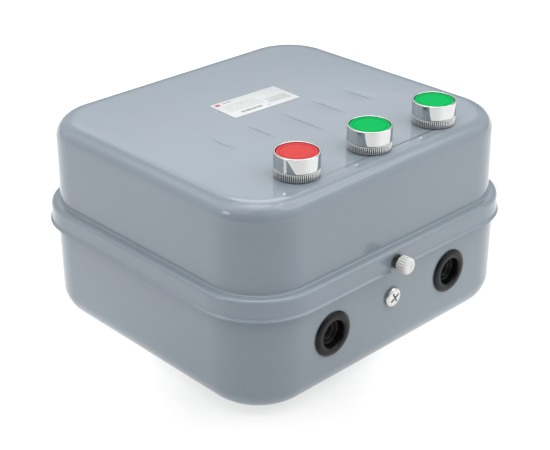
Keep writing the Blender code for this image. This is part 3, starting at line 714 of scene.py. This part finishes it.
def case_base():
    """The base as one pressed sheet, with the plate's bosses and the holes in its back and end wall."""
    loops = []
    for inset, floor in ((0.0, 0.0), (BASE_SHEET, BASE_SHEET)):
        skin = [outline_of((BASE_HALF[0] - shrink, BASE_HALF[1] - shrink), BASE_CORNER - shrink, z)
                for shrink, z in base_profile(inset, floor)]
        loops += skin if not inset else skin[::-1]
    pan = linked("case_base", loft(loops), "enamel")
    top = PLATE_Z[0] - AIR
    wide, narrow = BOSS_RADII
    boss = [(0.0, 0.0006), (wide, 0.0006), (wide, BASE_SHEET - 0.0001)]
    boss += [(wide - (wide - narrow) * share, BASE_SHEET + (top - BASE_SHEET) * share ** 2)
             for share in (0.2, 0.4, 0.6, 0.8, 0.93)]
    boss += [(narrow - 0.0002, top), (0.0, top)]
    for x in (-PLATE_SCREW_X, PLATE_SCREW_X):
        for y in PLATE_SCREW_Y:
            carve(pan, moved(turned(boss, 32), (x, y, 0.0)), "UNION")
            carve(pan, rod(0.0025, 0.0022, 0.009, (x, y), steps=24))
    for x in (-WALL_HOLE[0], WALL_HOLE[0]):
        for y in (-WALL_HOLE[1], WALL_HOLE[1]):
            carve(pan, rod(WALL_HOLE_RADIUS, -0.001, 0.003, (x, y), steps=32))
    wall = (-BASE_HALF[1] - 0.002, -BASE_HALF[1] + 0.004)
    for _, x, z in GROMMETS:
        carve(pan, rod(GROMMET_HOLE_RADIUS, *wall, (x, z), "Y"))
    carve(pan, rod(EARTH_SHANK_RADIUS + AIR, *wall, (EARTH_X, EARTH_Z), "Y", 32))
    carve(pan, rod(STUD_RADIUS + AIR, *wall, (THUMB_X, THUMB_Z), "Y", 32))
    finished(pan, "base", ["base_pan"], 34.0)


def seal():
    """The rubber strip along the rim, with a soft rounded section."""
    foot = RIM_Z + AIR
    height = GASKET_TOP_Z - foot
    width = 0.0020
    edge = 0.0005
    section = [(0.0, foot)] + arc((edge, GASKET_TOP_Z - edge), edge, 180, 90, 3)
    section += arc((width - edge, GASKET_TOP_Z - edge), edge, 90, 0, 3)
    section += [(width, foot + height * 0.2), (width - 0.0002, foot)]
    loops = [outline_of((BASE_HALF[0] - inset, BASE_HALF[1] - inset), BASE_CORNER - inset, z)
             for inset, z in section]
    piece("rim_seal", loft(loops, closed=True), "rubber", "base", ["rim_gasket"])


# ---------------------------------------------------------------- the sticker
def label_spot(u, v, z):
    """A point on the sticker, u along it and v across it from its lower left corner."""
    from_centre = Vector((u - LABEL_SIZE[0] / 2, v - LABEL_SIZE[1] / 2, z))
    return Matrix.Rotation(LABEL_TURN, 3, "Z") @ from_centre + Vector((*LABEL_CENTRE, 0.0))


def printed(name, blocks, finish):
    """Printed blocks (u, v, width, height) as thin films of ink on the sticker."""
    shape = bmesh.new()
    foot = COVER_TOP_Z + INK_FOOT
    for u, v, width, height in blocks:
        corners = ((u, v), (u + width, v), (u + width, v + height), (u, v + height))
        rows = [[shape.verts.new(label_spot(*corner, z)) for corner in corners]
                for z in (foot, foot + INK_THICKNESS)]
        stitch(shape, rows)
        shape.faces.new(rows[0])
        shape.faces.new(rows[1])
    made = linked(name, shape)
    made.data.materials.append(finish)
    finished(made, "cover")


def ink(name, colour):
    """Printing ink, slightly uneven."""
    made = Finish(name, colour, 0.42)
    made.mottle(900.0, 0.12)
    made.sheen_varies(500.0, 0.36, 0.5)
    return made.material


def sticker_and_print():
    """The sticker on the cover, with rows of plain dashes, a bar block and a plain red mark."""
    half = (LABEL_SIZE[0] / 2, LABEL_SIZE[1] / 2)
    loops = []
    for shrink, z in ((0.0, STICKER_FOOT), (0.0, STICKER_TOP - 0.00004), (0.00006, STICKER_TOP)):
        flat = outline_of((half[0] - shrink, half[1] - shrink), 0.0012 - shrink, COVER_TOP_Z + z, 8, half)
        loops.append([label_spot(*point) for point in flat])
    piece("sticker", loft(loops), "paper", "cover", ["label"])
    faint, strong = [], []
    for row in range(6):
        u = 0.0045
        index = row * 5
        while u < 0.0335:
            width = 0.0011 + 0.0024 * abs(math.sin(7.3 * index + 1.7 * row))
            faint.append((u, 0.0203 - 0.0021 * row, min(width, 0.0340 - u), 0.0008))
            u += width + 0.0007
            index += 1
    u = 0.0372
    while u < 0.0545:
        width = 0.00030 + 0.00035 * abs(math.sin(u * 9100))
        strong.append((u, 0.0052, width, 0.0086))
        u += width + 0.00095
    for u, width in ((0.0100, 0.0030), (0.0135, 0.0052), (0.0192, 0.0040), (0.0238, 0.0046)):
        strong.append((u, 0.0042, width, 0.0026))
    strong += [(0.0092, 0.0250, 0.0030, 0.0012), (0.0127, 0.0250, 0.0040, 0.0012),
               (0.0326, 0.0034, 0.0020, 0.0013)]
    printed("print_faint", faint, ink("ink_faint", (0.40, 0.40, 0.40)))
    printed("print_strong", strong, ink("ink_strong", (0.25, 0.25, 0.26)))
    printed("print_mark", [(0.0028, 0.0236, 0.0038, 0.0030)], ink("ink_red", (0.36, 0.045, 0.06)))


# ---------------------------------------------------------------- push-buttons
def push_button(name, x, y):
    """One push-button: knurled ring, bezel, cap and return spring round the body from the solids."""
    at = (x, y, COVER_TOP_Z)
    plastic_name = "red_plastic" if name == "red" else "green_plastic"
    bore = STEM_RADIUS + AIR

    def rib(angle):
        return KNURL_DEPTH * (1 - abs(math.sin(KNURL_RIBS * angle / 2))) ** 1.2

    crest = BEZEL_RADIUS - 0.00005
    ring_top = KNURL_HEIGHT - AIR
    ring = [(BUTTON_HOLE_RADIUS, AIR), (crest - 0.0009, AIR), (crest - 0.0006, 0.0005),
            (crest - 0.0002, 0.0008, 0.5), (crest, 0.0011, 1.0), (crest, ring_top - 0.0009, 1.0),
            (crest - 0.0001, ring_top - 0.0006, 0.6), (crest - 0.0004, ring_top - 0.0002),
            (crest - 0.0007, ring_top), (BUTTON_HOLE_RADIUS, ring_top)]
    knurled = linked(f"knurled_ring_{name}", moved(turned(ring, KNURL_RIBS * 6, rib), at), "knurl")
    finished(knurled, "cover", [f"bezel_ring_{name}"], 60.0)

    floor = KNURL_HEIGHT + 0.0015
    rim_inner = CAP_RADIUS + AIR
    outer_round, inner_round = 0.00055, 0.00035
    bezel = [(bore, KNURL_HEIGHT), (BEZEL_RADIUS - 0.0004, KNURL_HEIGHT),
             (BEZEL_RADIUS, KNURL_HEIGHT + 0.0003), (BEZEL_RADIUS, KNURL_HEIGHT + 0.0008),
             (BEZEL_RADIUS, BEZEL_HEIGHT - outer_round - 0.0006)]
    bezel += arc((BEZEL_RADIUS - outer_round, BEZEL_HEIGHT - outer_round), outer_round, 0, 90, 8)
    bezel += arc((rim_inner + inner_round, BEZEL_HEIGHT - inner_round), inner_round, 90, 180, 6)
    bezel += [(rim_inner, floor), (bore, floor)]
    piece(f"bezel_ring_top_{name}", moved(turned(bezel, 128), at), "chrome", "cover", [f"bezel_{name}"])

    cap_top = BEZEL_HEIGHT - CAP_RECESS
    cap_foot = floor + CAP_TRAVEL + 0.0006
    spring_top = cap_foot - 0.0020
    edge = 0.0005
    cap = [(0.0, spring_top), (STEM_BORE, spring_top), (STEM_BORE, STEM_FOOT_Z), (STEM_RADIUS, STEM_FOOT_Z),
           (STEM_RADIUS, cap_foot), (CAP_RADIUS, cap_foot), (CAP_RADIUS, cap_top - edge - 0.0002)]
    cap += arc((CAP_RADIUS - edge, cap_top - edge), edge, 0, 90, 6)
    cap += [(0.0114, cap_top), (0.01125, cap_top - 0.00008), (0.01115, cap_top - 0.00038),
            (0.01090, cap_top - 0.00040), (0.01080, cap_top - 0.00012), (0.01060, cap_top - 0.00006),
            (0.0060, cap_top - 0.00012), (0.0, cap_top - 0.00015)]
    piece(f"button_cap_{name}", moved(turned(cap, 128), at), plastic_name, f"{name}_button", [f"cap_{name}"])

    seat = SPRING_SEAT_Z + AIR
    tip = spring_top - AIR
    coil = moved(coil_spring(0.0048, 0.0004, seat, tip, 7), at)
    spring = piece(f"return_spring_{name}", coil, "zinc", "cover", [f"cap_spring_{name}"])
    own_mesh(spring)


# ---------------------------------------------------------------- end wall
def grommet(name, x, z):
    """A rubber cable entry: bevelled flange, funnel and a stepped membrane that is cut open on site."""
    wall = BASE_SHEET + 2 * AIR
    neck = GROMMET_HOLE_RADIUS - AIR
    inner_flange = GROMMET_RADIUS - 0.0012
    profile = [(0.0, -0.0049), (0.0016, -0.0049), (0.0022, -0.0052), (0.0060, -0.0052), (0.0064, -0.0050),
               (0.0066, -0.0044), (0.0068, -0.0041), (0.0084, -0.0040), (0.0088, -0.0037), (0.0090, -0.0030),
               (0.0095, 0.0008), (0.0097, 0.0014), (0.0102, 0.0019), (0.0108, 0.0021), (0.0136, 0.0021),
               (0.0141, 0.0019), (0.0152, 0.0012), (0.0155, 0.0009), (GROMMET_RADIUS, 0.0006),
               (0.0154, AIR), (neck, AIR), (neck, AIR - wall), (inner_flange, AIR - wall),
               (inner_flange, -0.0032), (0.0141, -0.0036), (0.0112, -0.0054), (0.0108, -0.0056),
               (0.0078, -0.0065), (0.0074, -0.0066), (0.0, -0.0066)]
    shape = moved(turned(profile, 96), (x, -BASE_HALF[1], z), (0, -1, 0))
    piece(f"cable_{name}", shape, "rubber", "base", [name], 50.0)


def screw_mesh(head, height, shank, length):
    """A cross-recess screw about Z, the underside of its head at z = 0."""
    low = height * 0.35
    dome = [(head * math.cos(a) ** 0.6, low + (height - low) * math.sin(a))
            for a in (math.radians(15 * step) for step in range(6))]
    profile = [(0.0, -length), (shank * 0.8, -length), (shank, -length + 0.0004), (shank, 0.0),
               (head * 0.97, 0.0), (head, height * 0.06)] + dome + [(0.0, height)]
    made = linked("screw", turned(profile, 48))
    for turn in (0.0, math.pi / 2):
        blade = []
        for reach, half_width, z in ((0.34, 0.080, height * 0.25), (0.60, 0.105, height * 0.86),
                                     (0.70, 0.125, height * 1.3)):
            a, b = reach * head, half_width * head
            blade.append([(-a, -b, z), (a, -b, z), (a, b, z), (-a, b, z)])
        carve(made, moved(loft(blade), (0, 0, 0), spin=turn))
    mesh = made.data
    bpy.data.objects.remove(made)
    return mesh


def screws(name, mesh, places, body, direction=(0, 0, 1), replaces=()):
    """Copies of one screw as one piece. A place is a point and a turn about the screw's axis."""
    shapes = []
    for at, spin in places:
        shape = bmesh.new()
        shape.from_mesh(mesh)
        shapes.append(moved(shape, at, direction, spin))
    piece(name, merged(shapes), "zinc", body, replaces, 30.0)


def earth_terminal():
    """The earth screw through the end wall."""
    screws("earth_terminal_screw", screw_mesh(EARTH_HEAD_RADIUS, 0.0029, EARTH_SHANK_RADIUS, 0.0105 + AIR),
           [((EARTH_X, -BASE_HALF[1] - AIR, EARTH_Z), math.radians(28))], "base", (0, -1, 0),
           replaces=["earth_screw"])


def thumb_nut():
    """The threaded stud on the base, and the washer, hexagon insert and fluted knob that run on it."""
    out = (0, -1, 0)
    wall = (THUMB_X, -BASE_HALF[1], THUMB_Z)
    head_foot, head_top = -0.0036, -BASE_SHEET - AIR
    head = turned([(0.0, head_foot), (STUD_HEAD_RADIUS - 0.0005, head_foot),
                   (STUD_HEAD_RADIUS, head_foot + 0.0004), (STUD_HEAD_RADIUS, head_top),
                   (0.0, head_top)], 48)
    stem = threaded(STUD_RADIUS, 0.00035, 0.0008, head_top - 0.0002, STUD_REACH)
    piece("threaded_stud", merged([moved(head, wall, out), moved(stem, wall, out)]), "dark_steel", "base",
          ["thumb_stud"], 50.0)

    skirt = (THUMB_X, COVER_CENTRE[1] - COVER_HALF[1] - SKIRT_OFFSET, THUMB_Z)
    clear = STUD_RADIUS + AIR
    edge = 0.0002
    washer = [(clear, AIR), (WASHER_RADIUS - edge, AIR), (WASHER_RADIUS, AIR + edge),
              (WASHER_RADIUS, WASHER_TOP - edge), (WASHER_RADIUS - edge, WASHER_TOP),
              (clear + edge, WASHER_TOP), (clear, WASHER_TOP - edge)]
    piece("plain_washer", moved(turned(washer, 48), skirt, out), "dark_steel", "thumb_washer",
          ["thumb_washer"])

    foot = WASHER_TOP + HEX_SHOWING + AIR
    sleeve_top = foot + 0.0046
    hexed = linked("hexagon_insert", extruded(hexagon(HEX_ACROSS_FLATS), skirt[1] - sleeve_top,
                                              skirt[1] - WASHER_TOP - AIR), "dark_steel")
    hexed.data.transform(Matrix.Translation((THUMB_X, 0.0, THUMB_Z)))
    carve(hexed, rod(clear, skirt[1] - 0.012, skirt[1], (THUMB_X, THUMB_Z), "Y", 32))
    soften(hexed, 0.0002)
    finished(hexed, "thumb_nut", ["thumb_nut_insert"])

    def flute(angle):
        return 0.00045 * (0.5 - 0.5 * math.cos(20 * angle)) ** 1.5

    top = foot + THUMB_LENGTH
    bore = HEX_ACROSS_FLATS / math.sqrt(3) + AIR
    dome = [(THUMB_RADIUS - 0.0024 + 0.0024 * math.cos(a), top - 0.0018 + 0.0018 * math.sin(a), math.cos(a))
            for a in (math.radians(15 * step) for step in range(7))]
    knob = [(bore, foot), (THUMB_RADIUS - 0.0007, foot, 0.3), (THUMB_RADIUS - 0.0002, foot + 0.0003, 0.8),
            (THUMB_RADIUS, foot + 0.0007, 1.0)] + dome
    knob += [(0.0018, top - 0.0001), (0.0012, top - 0.0003), (0.0, top - 0.0003), (0.0, sleeve_top + AIR),
             (bore, sleeve_top + AIR)]
    piece("thumb_knob", moved(turned(knob, 160, flute), skirt, out), "white_plastic", "thumb_nut",
          ["thumb_nut"])


# ---------------------------------------------------------------- inside
def contactor_springs():
    """The return springs between each contactor's magnet and its carrier."""
    for side_name, side in (("left", -1), ("right", 1)):
        at = (side * CONTACTOR_X, CONTACTOR_Y, 0.0)
        low, high = MAGNET_SPRING_Z
        coil = moved(coil_spring(0.0095, 0.0005, low, high, 4.5), at)
        spring = piece(f"magnet_spring_{side_name}", coil, "zinc", "base", [f"contactor_{side_name}_spring"])
        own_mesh(spring)


def terminal_screws():
    """Clamp screws in the terminals of the contactors, the relay and the buttons' contact blocks."""
    clamp = screw_mesh(0.0031, 0.0018, 0.0015, 0.0020)
    for side_name, side in (("left", -1), ("right", 1)):
        places = []
        for end in (-1, 1):
            for pole in (-1, 0, 1):
                x = side * CONTACTOR_X + pole * POLE_PITCH
                y = CONTACTOR_Y + end * (CONTACTOR_HALF[1] - TERMINAL_INSET)
                places.append(((x, y, CONTACTOR_SCREW_Z), 0.4 + 1.9 * pole + end))
        screws(f"contactor_{side_name}_clamp_screws", clamp, places, "base")
    at = (RELAY_Y - RELAY_HALF_Y + TERMINAL_INSET, RELAY_TOP_Z - RELAY_SCREW_DEPTH)
    places = [((RELAY_X + pole * POLE_PITCH, *at), 0.9 * pole) for pole in (-1, 0, 1)]
    screws("relay_clamp_screws", clamp, places, "base")
    small = screw_mesh(0.0029, 0.0016, 0.0013, 0.0018)
    for name, x, y in BUTTONS:
        for end, word in ((-1, "front"), (1, "rear")):
            at = (y + end * CONTACT_SCREW[1], COVER_TOP_Z + CONTACT_SCREW[2])
            places = [((x + side, *at), 1.1 + side * 200) for side in (-CONTACT_SCREW[0], CONTACT_SCREW[0])]
            screws(f"contact_screws_{word}_{name}", small, places, "cover", (0, end, 0))


def contact_blocks():
    """The buttons' contact blocks: two switch elements side by side, with recesses and plunger ends."""
    depth = 0.0007
    seam_half = 0.0003
    recess_half = 0.0045
    past = 0.001
    for name, x, y in BUTTONS:
        low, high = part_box(f"contact_block_{name}")
        shape = bmesh.new()
        shape.from_mesh(frame["nodes"][f"contact_block_{name}"].data)
        bmesh.ops.remove_doubles(shape, verts=shape.verts, dist=0.000002)
        made = linked(f"switch_elements_{name}", shape, "grey_plastic")
        foot = low[2] - past
        left, right = x - seam_half, x + seam_half
        middles = (x - 0.0070, x + 0.0070)
        cuts = [((left, low[1] - past, foot), (right, high[1] + past, low[2] + depth))]
        for end in (low[1], high[1]):
            cuts.append(((left, end - depth, foot), (right, end + depth, high[2] - 0.004)))
        for middle in middles:
            cuts.append(((middle - recess_half, y - 0.015, foot),
                         (middle + recess_half, y + 0.015, low[2] + depth)))
        for cut in cuts:
            carve(made, box(*cut))
        for middle in middles:
            carve(made, rod(0.0024, low[2] + 0.0001, low[2] + 0.0012, (middle, y), steps=32), "UNION")
        soften(made, 0.0004, weld=True)
        finished(made, "cover", [f"contact_block_{name}"])


def plate_screws():
    """The four screws that hold the mounting plate."""
    mesh = screw_mesh(0.0046, 0.0029, 0.0021, 0.0048)
    number = 0
    for y in PLATE_SCREW_Y:
        for x in (-PLATE_SCREW_X, PLATE_SCREW_X):
            number += 1
            screws(f"plate_fixing_{number}", mesh, [((x, y, PLATE_Z[1] + AIR), 0.7 * number)], "base",
                   replaces=[f"plate_screw_{number}"])


def relay_controls():
    """The relay's setting dial with its scale, and its reset and test buttons."""
    at = Vector((RELAY_X, RELAY_Y, RELAY_TOP_Z))
    spot = at + Vector((*DIAL_PLACE, 0.0))
    profile = [(0.0, -0.0032), (RELAY_DIAL_RADIUS, -0.0032), (RELAY_DIAL_RADIUS, 0.0004)]
    profile += arc((RELAY_DIAL_RADIUS - 0.0005, 0.0005), 0.0005, 0, 90, 5)[1:]
    profile += [(RELAY_DIAL_RADIUS - 0.0012, 0.0010), (RELAY_DIAL_RADIUS - 0.0016, 0.0007), (0.0, 0.0007)]
    dial = linked("setting_dial", moved(turned(profile, 64), spot), "cream_plastic")
    carve(dial, box(spot + Vector((-0.0006, -0.0043, -0.0006)), spot + Vector((0.0006, 0.0043, 0.002))))
    finished(dial, "overload_dial", ["overload_dial"], 30.0)
    ticks = []
    for step in range(10):
        angle = math.radians(-135 + 30 * step)
        tick = box((RELAY_DIAL_RADIUS + 0.0007, -0.00012, 0.0),
                   (RELAY_DIAL_RADIUS + 0.0019, 0.00012, 0.00006))
        ticks.append(moved(tick, spot + Vector((0, 0, 0.00002)), spin=angle + math.pi / 2))
    piece("dial_scale", merged(ticks), "paper", "base")
    for name, place, finish in (("reset", RESET_PLACE, "blue_plastic"), ("test", TEST_PLACE, "red_plastic")):
        foot = -0.0050
        profile = [(0.0, foot), (RELAY_BUTTON_RADIUS, foot), (RELAY_BUTTON_RADIUS, 0.0028)]
        profile += arc((RELAY_BUTTON_RADIUS - 0.0007, 0.0028), 0.0007, 0, 90, 6)[1:]
        profile += [(0.0024, 0.0034), (0.0, 0.0032)]
        piece(f"{name}_button", moved(turned(profile, 48), at + Vector((*place, 0.0))), finish,
              f"overload_{name}_button", [f"overload_{name}_button"])


def kept_solids():
    """Gives the solids that stay their finish, and rounds their edges."""
    finish_of = {row["node"]: row["material_slot"] for row in frame["record"]["subparts"]}
    rounding = {"mounting_plate": 0.0003, "cover_hook_left": 0.0003, "cover_hook_right": 0.0003,
                "interlock_housing": 0.0005, "line_link_bars": 0.0005, "load_link_bars": 0.0005,
                "overload_housing": 0.0007, "interlock_lever_left": 0.0002, "interlock_lever_right": 0.0002,
                "earth_nut": 0.0003}
    for part, width in (("housing", 0.0007), ("chamber", 0.0007), ("carrier", 0.0003), ("coil", 0.0010),
                        ("core", 0.0001)):
        for side in ("left", "right"):
            rounding[f"contactor_{side}_{part}"] = width
    for name, *_ in BUTTONS:
        rounding[f"button_body_{name}"] = 0.0003
    for node, width in rounding.items():
        made = frame["nodes"][node]
        for slot in made.material_slots:
            slot.material = FINISHES[finish_of[node]]
        soften(made, width, weld=True)


# ---------------------------------------------------------------- studio
TENT_BRIGHTNESS = 0.15
BACKDROP_BRIGHTNESS = 1.5
# Panels of the light tent: azimuth and elevation of the middle, half angle, softness, brightness.
TENT_PANELS = (
    (0.0, 90.0, 25.0, 3.0, 2.05),       # overhead
    (0.0, 90.0, 13.0, 3.0, 3.6),
    (45.0, 52.0, 22.0, 4.0, 2.9),       # right
    (90.0, 55.0, 14.0, 5.0, 0.7),
    (135.0, 43.0, 23.0, 4.0, 1.40),     # behind
    (136.0, 55.0, 13.0, 3.0, 3.5),
    (-135.0, 52.0, 20.0, 8.0, 1.6),
    (-90.0, 57.0, 20.0, 6.0, 1.3),      # left
    (0.0, 52.0, 16.0, 8.0, 1.1),        # front, beside the camera
    (0.0, 20.0, 22.0, 10.0, 0.6),
    (45.0, 18.0, 22.0, 10.0, 1.2),      # low, all round but for the camera's side
    (90.0, 20.0, 22.0, 10.0, 0.5),
    (180.0, 18.0, 24.0, 14.0, 0.6),
    (-135.0, 20.0, 26.0, 12.0, 1.0),
    (-104.0, 27.0, 7.0, 2.0, 6.0),      # strip light
)
NEAR_CORNER = (-0.7071, -0.7071, 0.0)
TABLE_GLOW = (0.68, 0.95)           # in front of the near corner, and elsewhere
TABLE_DIM_SPREAD = (0.95, 0.60)     # cosines of the angle from the near corner: dimmest, and no longer dim


def camera():
    """The camera, from its azimuth and elevation about its target."""
    azimuth, elevation, roll = (math.radians(v) for v in (CAMERA_AZIMUTH, CAMERA_ELEVATION, CAMERA_ROLL))
    back = Vector((math.sin(azimuth) * math.cos(elevation), -math.cos(azimuth) * math.cos(elevation),
                   math.sin(elevation)))
    right = Vector((math.cos(azimuth), math.sin(azimuth), 0.0))
    up = back.cross(right)
    right, up = (math.cos(roll) * right + math.sin(roll) * up, math.cos(roll) * up - math.sin(roll) * right)
    place = Vector(CAMERA_TARGET) + back * CAMERA_DISTANCE
    data = bpy.data.cameras.new("camera")
    data.lens = CAMERA_LENS
    data.sensor_width = 36.0
    data.clip_end = 50.0
    made = bpy.data.objects.new("camera", data)
    made.matrix_world = Matrix.Translation(place) @ Matrix((right, up, back)).transposed().to_4x4()
    bpy.context.scene.collection.objects.link(made)
    bpy.context.scene.camera = made


def tent():
    """A light tent as the world: an even level and softly edged panels. Seen directly it is white."""
    world = bpy.data.worlds.new("tent")
    bpy.context.scene.world = world
    world.use_nodes = True
    tree = world.node_tree
    tree.nodes.clear()
    place = add(tree, "TexCoord").outputs["Generated"]
    level = TENT_BRIGHTNESS
    for azimuth, elevation, half, soft, brightness in TENT_PANELS:
        a, e = math.radians(azimuth), math.radians(elevation)
        middle = (math.sin(a) * math.cos(e), -math.cos(a) * math.cos(e), math.sin(e))
        outside, inside = (math.cos(math.radians(angle)) for angle in (half + soft, half - soft))
        share = add(tree, "MapRange", Value=facing(tree, place, middle), From_Min=outside, From_Max=inside)
        share.interpolation_type = "SMOOTHSTEP"
        level = maths(tree, "ADD", maths(tree, "MULTIPLY", share.outputs["Result"], brightness), level)
    seen = add(tree, "LightPath").outputs["Is Camera Ray"]
    plain = maths(tree, "MULTIPLY", seen, BACKDROP_BRIGHTNESS)
    background = add(tree, "Background", Strength=maths(tree, "MAXIMUM", level, plain))
    add(tree, "OutputWorld", Surface=background.outputs[0])


def floor():
    """A white table top that glows, a little less in front of the object's near corner."""
    shape = bmesh.new()
    bmesh.ops.create_circle(shape, cap_ends=True, segments=96, radius=8.0)
    made = linked("table", moved(shape, (0, 0, -0.0002)))
    cloth = Finish("table_white", (0.25, 0.25, 0.25), 0.7, Specular_IOR_Level=0.2)
    cloth.shader.inputs["Emission Color"].default_value = (1.0, 1.0, 1.0, 1.0)
    heading = maths(cloth.tree, "NORMALIZE", cloth.place, kind="VectorMath")
    glow = between(cloth.tree, facing(cloth.tree, heading, NEAR_CORNER), *TABLE_GLOW, *TABLE_DIM_SPREAD)
    cloth.tree.links.new(glow, cloth.shader.inputs["Emission Strength"])
    cloth.mottle(3.0, 0.004)
    made.data.materials.append(cloth.material)


# ---------------------------------------------------------------- everything
bpy.context.scene.view_settings.view_transform = "Standard"
camera()
tent()
floor()
case_cover()
case_base()
seal()
sticker_and_print()
for button in BUTTONS:
    push_button(*button)
for entry in GROMMETS:
    grommet(*entry)
earth_terminal()
thumb_nut()
contactor_springs()
terminal_screws()
contact_blocks()
plate_screws()
relay_controls()
kept_solids()
